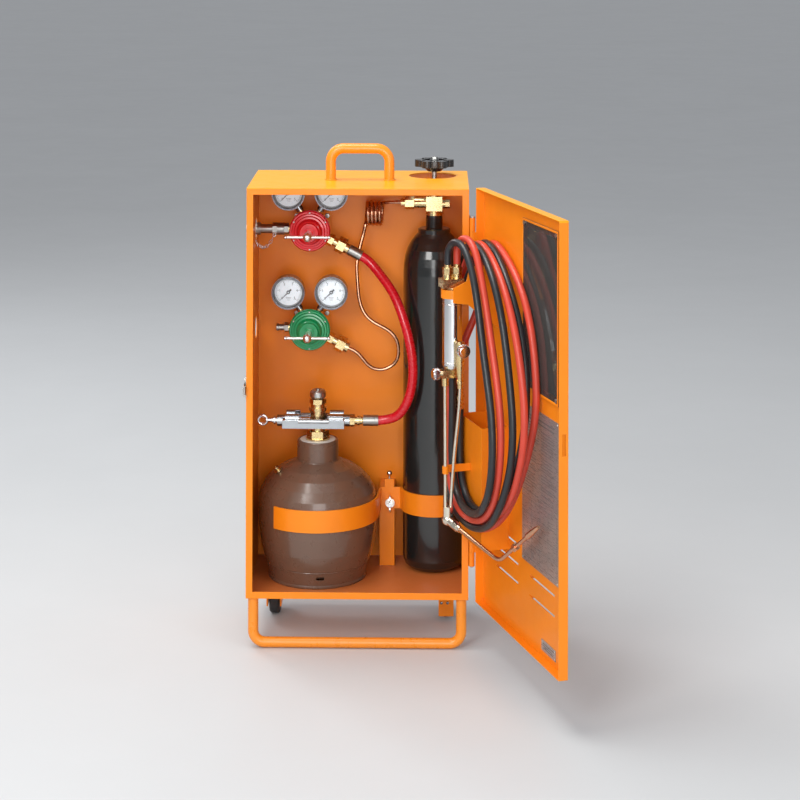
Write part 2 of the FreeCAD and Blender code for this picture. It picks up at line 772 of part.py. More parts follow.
# ------------------------------------------------------------------ supply lines
ACE_INLET = regulator("acetylene")
OXY_INLET = regulator("oxygen")
HOSE_START = ACE_INLET + INLET * 84.5
HOSE_END = YOKE + RIGHT * 86.5
# (x, y, z) of the supply hose's free run, right of the acetylene cylinder's axis
SUPPLY_RUN = [(33, 164, 510), (53, 146, 486), (72, 124, 448), (85, 112, 404), (91, 109, 360),
              (88, 110, 323), (78, 115, 294), (60, 123, 272.5)]
# straight lead-in from the regulator, free run, lead-out offsets into the yoke's outlet
SUPPLY_LINE = smooth_path(
    [HOSE_START + INLET * run for run in (0, 6, 12, 19)]
    + [pos(*point) for point in SUPPLY_RUN]
    + [HOSE_END + Vector(*offset) for offset in
       ((27, -0.5, 1.2), (19, 0, 0.2), (12, 0, 0), (6, 0, 0), (0, 0, 0))])

# (x, y, z) of the pigtail's loop between its coil and the oxygen regulator
PIGTAIL_LOOP = [(3.5, 200, 578), (-2, 196, 556), (-8, 190, 527), (-7, 186, 495), (-3, 184, 460),
                (10, 182, 433), (30, 180, 419), (48, 180, 409), (61, 180, 394), (65, 181, 374),
                (61, 182, 356), (49, 182, 345), (34, 181, 341), (18, 179.5, 345)]


def supply_hose():
    return feature(round_sweep(SUPPLY_LINE, dim["supply_hose_r"], 4.0))


def supply_hose_ferrules():
    """A ferrule at each end of the hose, hollowed by the hose with a small gap."""
    room = feature(round_sweep(SUPPLY_LINE, dim["supply_hose_r"] + 0.04))
    ferrules = []
    for origin, axis, start, length in ((ACE_INLET, INLET, 76, 24), (YOKE, RIGHT, 78, 26)):
        ferrules.append(cut(rod(9.4, length, origin + axis * start, axis),
                            rod(4.0, length + 2, origin + axis * (start - 1), axis), room))
    return group(ferrules)


def supply_hose_barb():
    return cut(rod(3.8, 18, ACE_INLET + INLET * 75.05, INLET),
               rod(2, 30, ACE_INLET + INLET * 70, INLET))


def oxygen_pigtail():
    """Thin pipe with a coil of four and a half turns about an axis along X."""
    turns, per_turn, pitch, coil_r = 4.5, 10, 6.7, 19.5
    coil = pos(3, 196, 612)
    out = around(OXY_OUTLET)
    points = [out(-4), out(-14), out(-24, 0, 0.5), out(-36, 3), pos(41, 185, 632)]
    for i in range(int(turns * per_turn) + 1):
        angle = 2 * math.pi * i / per_turn + math.radians(75)
        points.append(coil + Vector(34 - pitch * i / per_turn, -coil_r * math.cos(angle),
                                    coil_r * math.sin(angle)))
    points += [pos(*point) for point in PIGTAIL_LOOP]
    points += [OXY_INLET + INLET * run for run in (92, 76, 58)]
    return feature(round_sweep(smooth_path(points), dim["pigtail_r"]))


def pigtail_valve_nut():
    at = around(OXY_OUTLET)
    return cut(fuse([hexagon(20, 16, at(-0.05), LEFT), rod(7, 7, at(-16), LEFT)]),
               rod(3.6, 60, at(-30), RIGHT))


# ------------------------------------------------------------------ cylinder strap
BAND = dim["band_thk"]
STRAP_LOW = 102.0
STRAP_TOP = STRAP_LOW + dim["band_tall"]
STRAP_BACK_Y = 173          # rear face of the flat between the two cylinders
STUD_X, STUD_Z = 51.2, 113.0


def strap_arc(x, y, radius, first, last):
    """Three points of an arc; angles in degrees from the front, positive to the right."""
    points = []
    for degrees in (first, (first + last) / 2.0, last):
        angle = math.radians(degrees)
        points.append(pos(x + radius * math.sin(angle), y - radius * math.cos(angle),
                          STRAP_LOW))
    return points


def cylinder_strap():
    """Band round the front of both cylinders, with a tab on its upper edge."""
    ace_r = dim["ace_r"] + 0.4
    oxy_r = dim["oxy_r"] + 0.4
    ace_in, ace_out = [strap_arc(ACE_X, ACE_Y, r, -42, 84) for r in (ace_r, ace_r + BAND)]
    oxy_in, oxy_out = [strap_arc(OXY_X, OXY_Y, r, -80, 17) for r in (oxy_r, oxy_r + BAND)]
    back_left = pos(33, STRAP_BACK_Y, STRAP_LOW)
    back_right = pos(71.2, STRAP_BACK_Y, STRAP_LOW)
    front_left = pos(36, STRAP_BACK_Y - BAND, STRAP_LOW)
    front_right = pos(68.2, STRAP_BACK_Y - BAND, STRAP_LOW)
    runs = [ace_in, (ace_in[2], back_left), (back_left, back_right), (back_right, oxy_in[0]),
            oxy_in, (oxy_in[2], oxy_out[2]), oxy_out[::-1], (oxy_out[0], front_right),
            (front_right, front_left), (front_left, ace_out[2]), ace_out[::-1],
            (ace_out[0], ace_in[0])]
    edges = [(Part.Arc if len(run) == 3 else Part.LineSegment)(*run).toShape() for run in runs]
    band = Part.Face(Part.Wire(edges)).extrude(UP * dim["band_tall"])
    tab = Part.makeBox(16, BAND, 15, pos(42, STRAP_BACK_Y - BAND, STRAP_TOP - 1))
    band = band.fuse(tab).removeSplitter()
    return feature(band.cut(Part.makeCylinder(4.1, 20, pos(STUD_X, 160, STUD_Z), BACK)))


def strap_stud():
    return rod(3.95, 24, pos(STUD_X, STRAP_BACK_Y, STUD_Z), FRONT)


def strap_wing_nut():
    at = around(pos(STUD_X, 169.9, STUD_Z))
    nut = Part.makeCylinder(8, 7, at(), FRONT).fuse(Part.makeCylinder(6.2, 5, at(0, -7), FRONT))
    for side in (1, -1):
        nut = nut.fuse(Part.makeCylinder(6.0, 2.6, at(side * 1.3, -10.5, side * 9),
                                         Vector(-side, 0, 0)))
    nut = nut.cut(Part.makeCylinder(4.0, 30, at(0, 1), FRONT))
    return feature(nut.removeSplitter())


def strap_lift_knob():
    at = around(pos(50, 171.5, STRAP_TOP + 14))
    return fuse([rod(1.4, 7, at()), ball(4.6, at(z=10)), rod(1.5, 2, at())])


# ------------------------------------------------------------------ door
# (u of hinge-side end, u of far end, z) of each louvre
LOUVRES = [(60, 165, 72), (66, 165, 102), (72, 165, 133), (212, 320, 70), (212, 320, 101)]


def louvre_hood(near, far, z):
    """Quarter-round hollow hood on the door's outer face."""
    radius = 9
    length = far - near
    at = door_pos(far, dim["door_deep"], z)
    hood = Part.makeCylinder(radius, length, at, RIGHT)
    hood = hood.cut(Part.makeCylinder(radius - SKIN, length - 2 * SKIN, at + RIGHT * SKIN, RIGHT))
    quarter = Part.makeBox(length + 2, radius, radius,
                           door_pos(far + 1, dim["door_deep"] + radius, z))
    return feature(hood.common(quarter))


def door_panel():
    body = doc.addObject("PartDesign::Body", "door")
    # the sketches' x is the frame's x, so u runs against it
    sketch = new_sketch(body, "XZ_Plane")
    rectangle(sketch, sum_of(door_width=-0.5), sum_of(door_width=0.5),
              "door_low", sum_of(door_low=1, door_height=1))
    pad(body, sketch, "door_deep")
    # hollow behind the skin
    sketch = new_sketch(body, "XZ_Plane")
    rectangle(sketch, sum_of(door_width=-0.5, door_skin=1),
              sum_of(door_width=0.5, door_skin=-1), sum_of(door_low=1, door_skin=1),
              sum_of(door_low=1, door_height=1, door_skin=-1))
    pocket(body, sketch, sum_of(door_deep=1, door_skin=-1), True)
    # window opening
    sketch = new_sketch(body, "XZ_Plane")
    rectangle(sketch, HALF_DOOR - 330, HALF_DOOR - 203, 410, 650)
    pocket(body, sketch, 20, True)
    for near, far, z in LOUVRES:
        sketch = new_sketch(body, "XZ_Plane")
        rectangle(sketch, HALF_DOOR - far + SKIN, HALF_DOOR - near - SKIN, z + 4.0, z + 7.8)
        pocket(body, sketch, 20, True)
    # latch slot in the edge away from the hinges
    sketch = new_sketch(body, "YZ_Plane", -HALF_DOOR)
    rectangle(sketch, -11.5, -5, LATCH_Z - 9, LATCH_Z + 24)
    pocket(body, sketch, 4, True)
    body.Placement = Placement(pos(0, LIP_Y, 0), Rotation())
    return fuse([body] + [louvre_hood(*louvre) for louvre in LOUVRES])


def window_pane():
    return between(door_pos(185, SKIN_N, 398), door_pos(337, SKIN_N - 2, 662))


def window_screws():
    return group([rod(3.2, 1.8, door_pos(u, SKIN_N - 2, z), BACK)
                  for z in (655, 405) for u in (193, 329)])


def instruction_panel():
    return between(door_pos(183, SKIN_N, 125), door_pos(335, SKIN_N - 0.8, 372))


def data_plate():
    return between(door_pos(267, SKIN_N, 9), door_pos(325, SKIN_N - 0.8, 26))


def accessory_box():
    """Open-topped box on the door's skin."""
    wall = 1.2
    return cut(between(door_pos(12.2, SKIN_N, 120), door_pos(121, -33, 316)),
               between(door_pos(12.2 + wall, SKIN_N - wall, 120 + wall),
                       door_pos(121 - wall, -33 + wall, 330)))


# ------------------------------------------------------------------ torch
TORCH_U, TORCH_N = 75.0, -67.0      # axis of the handle
FUEL_U, FUEL_N = TORCH_U + 24.4, -62
OXY_TUBE_N = -79
HOSE_NUT_N = (-75.2, -59.3)
HEAD = door_pos(TORCH_U, -74.5, 162)
TIP_WAY = Vector(door_pos(188, -27.4, 124.4) - HEAD).normalize()
TIP_BEND = HEAD + TIP_WAY * 128
TIP_END = door_pos(226, -17, 155)
END_WAY = Vector(TIP_END - TIP_BEND).normalize()

# (n, z) of the torch bracket's web
BRACKET_WEB = [(-72, 538), (-50, 548), (-44, 572), (SKIN_N, 572), (SKIN_N, 465), (-18, 486),
               (-48, 511), (-72, 514)]
# (radius, height)
HANDLE = [(0, 0), (11, 0), (14, 3), (16, 8), (16, 122), (15, 125), (12.5, 127), (12, 128.4),
          (0, 128.4)]
FUEL_VALVE = [(0, -52), (4.5, -52), (4.5, -46), (5.6, -45), (5.6, -40), (4.2, -38), (7, -8),
              (8, 0), (8, 20), (6, 23), (0, 23)]


def torch_bracket():
    """Web and base plate with an open clip round the torch's handle."""
    corners = [door_pos(93, n, z) for n, z in BRACKET_WEB]
    web = Part.Face(Part.makePolygon(corners + corners[:1])).extrude(LEFT * 2.5)
    base = Part.makeBox(45.5, 2.5, 107, door_pos(120, SKIN_N, 465))
    at = door_pos(TORCH_U, TORCH_N, 520)
    clip = Part.makeCylinder(18.6, 14, at).cut(Part.makeCylinder(16.1, 14, at))
    clip = clip.cut(Part.makeBox(20, 22, 14, door_pos(TORCH_U - 1, TORCH_N + 11, 520)))
    return feature(web.fuse(base).fuse(clip).removeSplitter())


def hose_peg():
    peg = Part.makeCylinder(4, SKIN_N + 42, door_pos(70, SKIN_N, 589), BACK)
    return feature(peg.fuse(Part.makeSphere(5.5, door_pos(70, -43, 589))).removeSplitter())


def tube_clip():
    """Spring clip on the accessory box that steadies the torch's tubes."""
    at = around(door_pos(TORCH_U, -78.1, 236))
    tall = 12
    clip = Part.makeCylinder(5.2, tall, at()).cut(Part.makeCylinder(3.4, tall, at()))
    clip = clip.cut(Part.makeBox(4.4, 8, tall, at(-2.2, 1)))
    stalk = Part.makeBox(1.6, 46, tall, door_pos(TORCH_U - 6.4, -33.05, 236))
    bridge = Part.makeBox(3.4, 2, tall, door_pos(TORCH_U - 4.0, -77.2, 236))
    return feature(clip.fuse(stalk).fuse(bridge).removeSplitter())


def torch_valve_block():
    return fuse([box(24, 36, 14, door_pos(TORCH_U + 12, -51, 537)),
                 rod(8, 8, door_pos(TORCH_U, -75, 550)),
                 rod(8, 8, door_pos(TORCH_U, -59.5, 550)),
                 rod(12, 5, door_pos(TORCH_U, TORCH_N, 532.5))])


def torch_hose_nuts():
    nuts = []
    for n in HOSE_NUT_N:
        nut = fuse([hexagon(15, 11, door_pos(TORCH_U, n, 558.05)),
                    rod(5.6, 4.6, door_pos(TORCH_U, n, 569))])
        nuts.append(cut(nut, rod(3.1, 30, door_pos(TORCH_U, n, 550))))
    return group(nuts)


def torch_handle():
    return turned_body(HANDLE, door_pos(TORCH_U, TORCH_N, 404))


def torch_mixer():
    return fuse([box(20, 30, 12, door_pos(TORCH_U + 10, -56, 391.9)),
                 rod(5.5, 14, door_pos(TORCH_U, OXY_TUBE_N, 378)),
                 rod(4.4, 7, door_pos(TORCH_U, TORCH_N, 397))])


def torch_oxygen_knob():
    return fuse([rod(radius, length, door_pos(TORCH_U, n, 398), BACK)
                 for radius, length, n in ((4, 4, -86.1), (9, 9, -90), (6.5, 2, -99))])


def torch_fuel_valve():
    return turned_body(FUEL_VALVE, door_pos(FUEL_U, FUEL_N, 430))


def torch_fuel_knob():
    return fuse([rod(radius, length, door_pos(TORCH_U + du, FUEL_N, 441), LEFT)
                 for radius, length, du in ((4, 4, 32.5), (10, 9, 36), (7, 2, 45))])


def torch_oxygen_tube():
    path = line_path([door_pos(TORCH_U, OXY_TUBE_N, 377.9), door_pos(TORCH_U, -78.5, 300),
                      door_pos(TORCH_U, -78, 183.1)], 200)
    return feature(round_sweep(path, 3.0))


def torch_fuel_tube():
    # (offset in u from the handle's axis, n, z)
    stations = ((24.4, FUEL_N, 377.7), (22.5, -62.6, 350), (13, -65.4, 290), (5, -68.2, 225),
                (1.4, -69.6, 183.5))
    path = smooth_path([door_pos(TORCH_U + du, n, z) for du, n, z in stations])
    return feature(round_sweep(path, 2.9))


def torch_head():
    return fuse([rod(8.2, 18, door_pos(TORCH_U, -73.9, 165)), ball(9.5, HEAD),
                 rod(7, 16, HEAD, TIP_WAY)])


def torch_tip_nut():
    return fuse(stack(HEAD, TIP_WAY, [(hexagon, 13, 16.05, 10), (rod, 5.6, 26, 6)]))


def torch_tip_tube():
    path = line_path([HEAD + TIP_WAY * 32.05, TIP_BEND, TIP_END], 26)
    return feature(round_sweep(path, 3.4))


def torch_nozzle():
    def ahead(distance):
        return TIP_END + END_WAY * distance

    return cut(fuse([hexagon(11, 9, ahead(0.05), END_WAY), rod(3.1, 36, ahead(9), END_WAY),
                     cone(3.4, 5.0, 3, ahead(43), END_WAY), rod(5.0, 13, ahead(46), END_WAY),
                     cone(5.0, 2.8, 21, ahead(59), END_WAY)]),
               rod(0.9, 60, ahead(25), END_WAY))


# ------------------------------------------------------------------ twin hose
# Three turns each, black for oxygen, red for fuel gas; (u, n, z) along the centre line.
BLACK_HOSE = [
    (75, -75.2, 574.1), (75, -75.2, 577.1), (76.7, -74.6, 595.8), (91.2, -70.2, 610.8),
    (112, -65.2, 609.9), (130.2, -62.4, 598.2), (145.4, -61.4, 582.5), (159, -61.3, 565.4),
    (171.1, -61.6, 547.2), (181.4, -61.8, 527.9), (190.1, -62, 507.8), (197.9, -62, 487.3),
    (205.8, -62, 466.9), (214.2, -62, 446.7), (223, -62, 426.7), (231.5, -62, 406.5),
    (239.1, -62, 385.9), (245, -62, 364.9), (248.8, -62, 343.3), (250.3, -62, 321.5),
    (249.1, -62, 299.7), (245.2, -61.9, 278.1), (238.3, -61.8, 257.4), (227.7, -61.8, 238.2),
    (213.6, -61.7, 221.6), (196.1, -61.3, 208.4), (176.5, -60.3, 198.9), (155.7, -58.9, 192.4),
    (134.2, -57.5, 188.4), (112.4, -56.3, 186.9), (90.7, -55.4, 188.9), (70.2, -54.8, 196.4),
    (53.5, -54.5, 210.3), (42.9, -54.4, 229.4), (38.2, -54.4, 250.7), (37.2, -54.4, 272.6),
    (37.9, -54.4, 294.4), (38.7, -54.4, 316.3), (39.3, -54.3, 338.2), (39.4, -54.3, 360.1),
    (39.3, -54.4, 382), (39.2, -54.7, 403.8), (39, -55, 425.7), (38.8, -55.3, 447.6),
    (38.5, -55.5, 469.5), (38, -55.2, 491.4), (37.2, -54, 513.2), (36.4, -51.5, 534.9),
    (37.2, -47.5, 556.4), (42.6, -42.5, 576.9), (55.3, -37.9, 593.9), (74.6, -35.1, 603.6),
    (96.3, -34.3, 605.1), (117.6, -34.3, 600.5), (137.8, -34.6, 592.1), (156.6, -34.8, 580.9),
    (173.7, -35, 567.3), (189.1, -35, 551.7), (202.7, -35, 534.6), (214.5, -35, 516.2),
    (224.7, -35, 496.8), (233.5, -35, 476.7), (241.2, -35, 456.2), (248.1, -35, 435.5),
    (254.5, -35, 414.5), (260, -35, 393.3), (264.2, -34.9, 371.9), (266.3, -34.9, 350.1),
    (265.8, -35, 328.2), (262.7, -35.3, 306.5), (257.2, -36, 285.4), (249.7, -37.2, 264.8),
    (240.6, -38.7, 245), (229.8, -40.4, 226), (217, -42, 208.4), (201.6, -43.2, 192.9),
    (183.8, -44.5, 180.3), (164.1, -46.7, 171), (143.2, -49.5, 165.2), (121.6, -51.7, 162.7),
    (99.8, -52, 162.3), (77.9, -52.6, 163.4), (56.7, -53.6, 168.5), (38, -54.3, 179.6),
    (23.9, -54.6, 196.2), (15.4, -54.6, 216.3), (11.6, -54.5, 237.8), (10.6, -54.5, 259.7),
    (10.9, -54.4, 281.6), (11.4, -54.5, 303.4), (11.8, -54.7, 325.3), (12, -55.1, 347.2),
    (12, -55.5, 369.1), (12, -55.8, 391), (12, -55.8, 412.8), (12, -54.8, 434.7),
    (12.1, -52.1, 456.4), (12.1, -46.9, 477.6), (12.1, -39.1, 498.1), (12.3, -29.8, 517.9),
    (13.3, -20.8, 537.8), (16.7, -13.7, 558.1), (25.1, -9.3, 577.8), (39.9, -7.6, 593.7),
    (59.7, -7.5, 602.6), (81.5, -7.8, 603.9), (102.8, -7.9, 599.3), (123, -8, 590.8),
    (141.9, -8, 579.9), (159.8, -8, 567.3), (176.6, -8, 553.3), (192.4, -8, 538.1),
    (207, -8, 521.8), (220.3, -8, 504.4), (231.7, -7.9, 485.8), (241.1, -7.9, 466),
    (248.3, -7.9, 445.3), (253.2, -8.1, 424), (256.1, -8.5, 402.3), (257, -9.3, 380.5),
    (256.1, -10.6, 358.6), (253.8, -12.3, 336.9), (250, -14.6, 315.5), (244.4, -17.3, 294.5),
    (236.8, -20.2, 274.2), (227, -22.9, 254.8), (214.9, -25.5, 236.8), (200.3, -28.1, 220.7),
    (183.2, -31, 207.4), (164.1, -34.2, 197.3), (143.5, -37.4, 190.6), (122, -39.9, 187.3),
    (100.2, -41, 187.8), (79.1, -41.3, 193.2), (60.6, -41.2, 204.8), (47.3, -41.1, 222),
    (40.1, -41, 242.6), (37.8, -41, 264.3), (38.1, -41, 286.2), (38.9, -41, 308.1),
    (39, -41, 330)]
RED_HOSE = [
    (75, -59.3, 574.1), (75, -59.3, 577.1), (75.5, -59.2, 596), (86.9, -56.2, 613.8),
    (107.7, -51.9, 617), (126.5, -49.1, 606.5), (141.3, -48.1, 590.4), (154, -48, 572.6),
    (165.7, -48.1, 554.1), (176.6, -48.3, 535.1), (186.8, -48.4, 515.7), (196.4, -48.5, 496.1),
    (205.8, -48.5, 476.3), (215, -48.5, 456.5), (224.1, -48.5, 436.5), (232.6, -48.5, 416.3),
    (240.1, -48.5, 395.8), (246, -48.5, 374.7), (249.6, -48.5, 353.1), (250.7, -48.5, 331.3),
    (249.3, -48.5, 309.4), (245.6, -48.5, 287.8), (239.6, -48.5, 266.8), (231, -48.6, 246.7),
    (219.7, -48.7, 227.9), (205.7, -49, 211.2), (188.9, -49.6, 197.1), (169.8, -50.6, 186.5),
    (149.2, -51.8, 179.5), (127.7, -52.8, 175.6), (105.8, -53.6, 174.2), (84, -54.1, 175.7),
    (63.1, -54.4, 181.8), (45, -54.5, 194), (32.3, -54.5, 211.7), (25.8, -54.5, 232.5),
    (23.8, -54.5, 254.3), (24, -54.4, 276.2), (24.7, -54.5, 298.1), (25.2, -54.6, 320),
    (25.3, -55, 341.8), (25.4, -55.4, 363.7), (25.5, -55.9, 385.6), (25.5, -56.2, 407.5),
    (25.5, -56.2, 429.4), (25.4, -55.6, 451.3), (25.1, -53.8, 473.1), (24.5, -50.3, 494.7),
    (23.9, -44.7, 515.8), (23.9, -37.8, 536.6), (26.1, -30.8, 557.2), (33.2, -25.2, 577),
    (47.2, -21.8, 593.3), (66.9, -20.7, 602.5), (88.7, -20.7, 603.8), (110.1, -21, 599.4),
    (130.5, -21.3, 591.6), (150, -21.4, 581.6), (168.5, -21.5, 569.8), (185.8, -21.5, 556.5),
    (201.9, -21.5, 541.6), (216.6, -21.5, 525.4), (229.9, -21.5, 508), (241.8, -21.5, 489.7),
    (252.3, -21.5, 470.5), (261.6, -21.5, 450.7), (269.4, -21.5, 430.2), (275.6, -21.5, 409.2),
    (279.9, -21.5, 387.7), (281.9, -21.6, 366), (281.4, -21.8, 344.1), (278.1, -22.3, 322.4),
    (272.2, -23.1, 301.4), (264, -23.9, 281.1), (253.9, -24.7, 261.7), (241.9, -25.7, 243.4),
    (228, -27.5, 226.7), (212.2, -30.4, 211.8), (194.7, -33.9, 199.1), (175.8, -36.9, 188.6),
    (155.5, -38.8, 180.6), (134.3, -39.8, 175.5), (112.5, -40.5, 173.5), (90.7, -40.9, 174.8),
    (69.5, -41.1, 180.3), (50.6, -41.1, 191.1), (36.2, -41, 207.5), (27.7, -41, 227.6),
    (24.4, -41, 249.2), (23.9, -41, 271.1), (24.5, -41.1, 293), (25.1, -41.3, 314.8),
    (25.4, -41.6, 336.7), (25.5, -41.4, 358.6), (25.6, -40.5, 380.5), (25.6, -37.8, 402.2),
    (25.6, -32.8, 423.5), (25.5, -25.4, 444.1), (25.3, -16.4, 464), (24.8, -7.6, 484),
    (24.1, -0.7, 504.8), (23.5, 3.4, 526.3), (24.3, 4.9, 548.1), (29, 5.1, 569.4),
    (40.2, 5.1, 588), (58.4, 5.1, 599.9), (79.9, 5.1, 603.1), (101.5, 5.1, 599.6),
    (122.2, 5.1, 592.7), (142.4, 5.1, 584.1), (161.9, 5.1, 574.2), (180.5, 5.1, 562.7),
    (197.8, 5.1, 549.3), (213.6, 5.1, 534.1), (227.2, 5.1, 517.1), (238.5, 5.1, 498.3),
    (247.3, 5.1, 478.3), (253.9, 5.1, 457.4), (258.9, 5.1, 436.1), (262.4, 5, 414.5),
    (264, 4.6, 392.6), (263.5, 3.5, 370.8), (261, 1.7, 349.1), (256.7, -0.8, 327.8),
    (251, -3.5, 306.8), (244.3, -6.3, 286.2), (236.7, -9.4, 265.9), (227.8, -12.7, 246.2),
    (217.3, -16, 227.3), (204.9, -19.4, 209.5), (190.6, -23.1, 193.4), (174.4, -27.8, 179.5),
    (156.2, -33.3, 168.7), (136.2, -38.3, 161.4), (114.7, -40.5, 157.7), (92.9, -40.7, 157.8),
    (71.3, -40.7, 161.4), (50.9, -40.9, 169.3), (33.4, -41, 182.3), (20.7, -41, 200),
    (13.7, -41, 220.7), (11.1, -41, 242.4), (10.9, -41, 264.3), (11.5, -41, 286.2),
    (12, -41, 308.1), (12, -41, 330)]
TORCH_HOSES = {"black": BLACK_HOSE, "red": RED_HOSE}


def torch_hose(colour):
    path = smooth_path([door_pos(*point) for point in TORCH_HOSES[colour]])
    return feature(round_sweep(path, dim["hose_r"]))


def hose_couplings():
    """One coupling just above each hose's last point."""
    couplings = []
    for points in TORCH_HOSES.values():
        u, n, z = points[-1]
        base = door_pos(u, n, z + 0.3)
        pieces = stack(base, UP, [(rod, 6.4, 0, 14), (hexagon, 11.6, 14, 7), (rod, 6.0, 21, 20)])
        couplings.append(cut(fuse(pieces), rod(3, 30, base + UP * 20)))
    return group(couplings)


# ------------------------------------------------------------------ nodes
# Each node's label and its members: a function, or (function, arguments).
FIXED_NODES = {
    "cabinet_shell": [cabinet_shell],
    "inner_brackets": [strap_post, (wall_bracket, "acetylene"), (wall_bracket, "oxygen")],
    "carry_handle": [carry_handle],
    "front_foot": [front_foot],
    "wheel_brackets": [(wheel_bracket, "left"), (wheel_bracket, "right")],
    "wheel_axle_bolts": [wheel_axle_bolts],
    "hinge_leaves_fixed": [hinge_leaves_fixed],
    "hinge_pins": [hinge_pins],
    "latch_plate": [latch_plate],
    "latch_spring": [latch_spring],
    "oxygen_cylinder": [oxygen_cylinder],
    "acetylene_cylinder": [acetylene_cylinder, acetylene_foot_ring],
    "cylinder_valves": [oxygen_valve, acetylene_valve],
    "valve_gland_nuts": [oxygen_gland_nut, acetylene_gland_nut, oxygen_safety_plug,
                         acetylene_fusible_plug],
    "oxygen_valve_spindle": [oxygen_valve_spindle, oxygen_wheel_nut],
    "oxygen_handwheel": [oxygen_handwheel],
    "acetylene_valve_spindle": [acetylene_valve_spindle],
    "yoke_frame": [yoke_frame],
    "yoke_clamp_screw": [yoke_clamp_screw],
    "supply_line_nuts": [yoke_outlet, pigtail_valve_nut],
    "regulator_bodies": [(regulator_body, "acetylene"), (regulator_body, "oxygen")],
    "regulator_inlet_nuts": [(inlet_nuts, "acetylene"), (inlet_nuts, "oxygen")],
    "gauge_cases": [gauge_cases],
    "gauge_dials": [gauge_dials],
    "gauge_lenses": [gauge_lenses],
    "regulator_outlets": [acetylene_outlet_coupling, oxygen_outlet_stub,
                          supply_hose_ferrules, supply_hose_barb],
    "supply_hose": [supply_hose],
    "oxygen_pigtail": [oxygen_pigtail],
    "cylinder_strap": [cylinder_strap],
    "strap_stud": [strap_stud, strap_lift_knob],
    "strap_wing_nut": [strap_wing_nut],
}
for side in SIDES:
    FIXED_NODES["wheel_tyre_" + side] = [(wheel_tyre, side)]
    FIXED_NODES["wheel_hub_" + side] = [(wheel_hub, side)]
for gas in REGULATOR_Z:
    FIXED_NODES[gas + "_bonnet"] = [(bonnet, gas)]
    FIXED_NODES[gas + "_adjusting_screw"] = [(adjusting_screw, gas)]
for gas, level in GAUGES:
    FIXED_NODES[gas + "_gauge_needle_" + level] = [(gauge_needle, gas, level)]

DOOR_NODES = {
    "hinge_leaves_door": [hinge_leaves_door],
    "door_panel": [door_panel],
    "window_pane": [window_pane],
    "window_screws": [window_screws],
    "door_plates": [instruction_panel, data_plate],
    "accessory_box": [accessory_box],
    "torch_bracket": [torch_bracket, hose_peg, tube_clip],
    "torch_valve_blocks": [torch_valve_block, torch_mixer, torch_fuel_valve],
    "torch_handle": [torch_handle],
    "torch_oxygen_knob": [torch_oxygen_knob],
    "torch_fuel_knob": [torch_fuel_knob],
    "torch_tubes": [torch_oxygen_tube, torch_fuel_tube],
    "torch_head": [torch_head, torch_tip_nut],
    "torch_tip": [torch_tip_tube, torch_nozzle],
    "torch_hose_black": [(torch_hose, "black")],
    "torch_hose_red": [(torch_hose, "red")],
    "hose_end_fittings": [torch_hose_nuts, hose_couplings],
}


def make_node(label, members, on_door):
    """Build a node's members, swing those on the door, and group them if several."""
    made = []
    for member in members:
        build, *details = member if isinstance(member, tuple) else (member,)
        alias_of["piece"] = "_".join([build.__name__] + details)
        alias_of["count"] = 0
        obj = build(*details)
        if on_door:
            obj.Placement = SWING.multiply(obj.Placement)
        if len(members) > 1:
            obj.Label = alias_of["piece"] + "_piece"
        made.append(obj)
    node = made[0] if len(made) == 1 else group(made)
    node.Label = label
    return node


nodes = [make_node(label, members, False) for label, members in FIXED_NODES.items()]
nodes += [make_node(label, members, True) for label, members in DOOR_NODES.items()]

# ------------------------------------------------------------------ recompute, test, write
doc.recompute()
faults = []
for obj in doc.Objects:
    if any(state in ("Invalid", "Error") for state in obj.State):
        faults.append("%s (%s): %s" % (obj.Label, obj.TypeId, obj.State))
for made, before in pockets:
    if not made.Shape.Volume < before.Shape.Volume - 1:
        faults.append("pocket %s removed nothing" % made.Label)
labels = set()
for node in nodes:
    if node.Shape.isNull() or not node.Shape.isValid() or not node.Shape.Solids:
        faults.append("%s has no valid solid" % node.Label)
    if node.Label in labels:
        faults.append("label used twice: " + node.Label)
    labels.add(node.Label)
if faults:
    raise RuntimeError("model not sound:\n" + "\n".join(faults))
os.makedirs("parts", exist_ok=True)
for node in nodes:
    node.Shape.exportStep("parts/%s.step" % node.Label)
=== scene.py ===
import json
import math
import random

import bmesh
import bpy
from mathutils import Matrix, Vector


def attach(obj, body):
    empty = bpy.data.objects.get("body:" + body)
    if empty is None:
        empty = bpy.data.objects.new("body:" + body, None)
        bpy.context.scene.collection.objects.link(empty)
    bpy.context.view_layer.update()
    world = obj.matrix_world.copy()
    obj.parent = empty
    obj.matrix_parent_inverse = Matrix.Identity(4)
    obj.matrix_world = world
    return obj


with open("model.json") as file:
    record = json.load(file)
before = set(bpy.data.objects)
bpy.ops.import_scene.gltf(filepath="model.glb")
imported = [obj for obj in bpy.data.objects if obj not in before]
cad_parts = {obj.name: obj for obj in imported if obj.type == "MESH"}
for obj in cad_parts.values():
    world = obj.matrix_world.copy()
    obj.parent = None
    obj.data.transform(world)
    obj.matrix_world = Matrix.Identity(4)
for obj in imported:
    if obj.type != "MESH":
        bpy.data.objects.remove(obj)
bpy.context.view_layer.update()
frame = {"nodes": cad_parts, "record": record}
random.seed(7)
N = frame["nodes"]

# ------------------------------------------------------------------ places
TH = math.radians(108.56)
HX, HY = 190.5, 4.0


def P(x, y, z):
    """Cabinet working coordinates in mm to the frame in metres."""
    return Vector((x, y - 115.0, z + 85.0)) / 1000.0


def D(u, n, z):
    """Door coordinates in mm, door as it stands open."""
    x, y = 185.0 - u - HX, -0.5 - n - HY
    return P(HX + x * math.cos(TH) - y * math.sin(TH), HY + x * math.sin(TH) + y * math.cos(TH), z)


def Dv(du, dn, dz):
    x, y = -du, -dn
    return Vector((x * math.cos(TH) - y * math.sin(TH), x * math.sin(TH) + y * math.cos(TH), dz)).normalized()


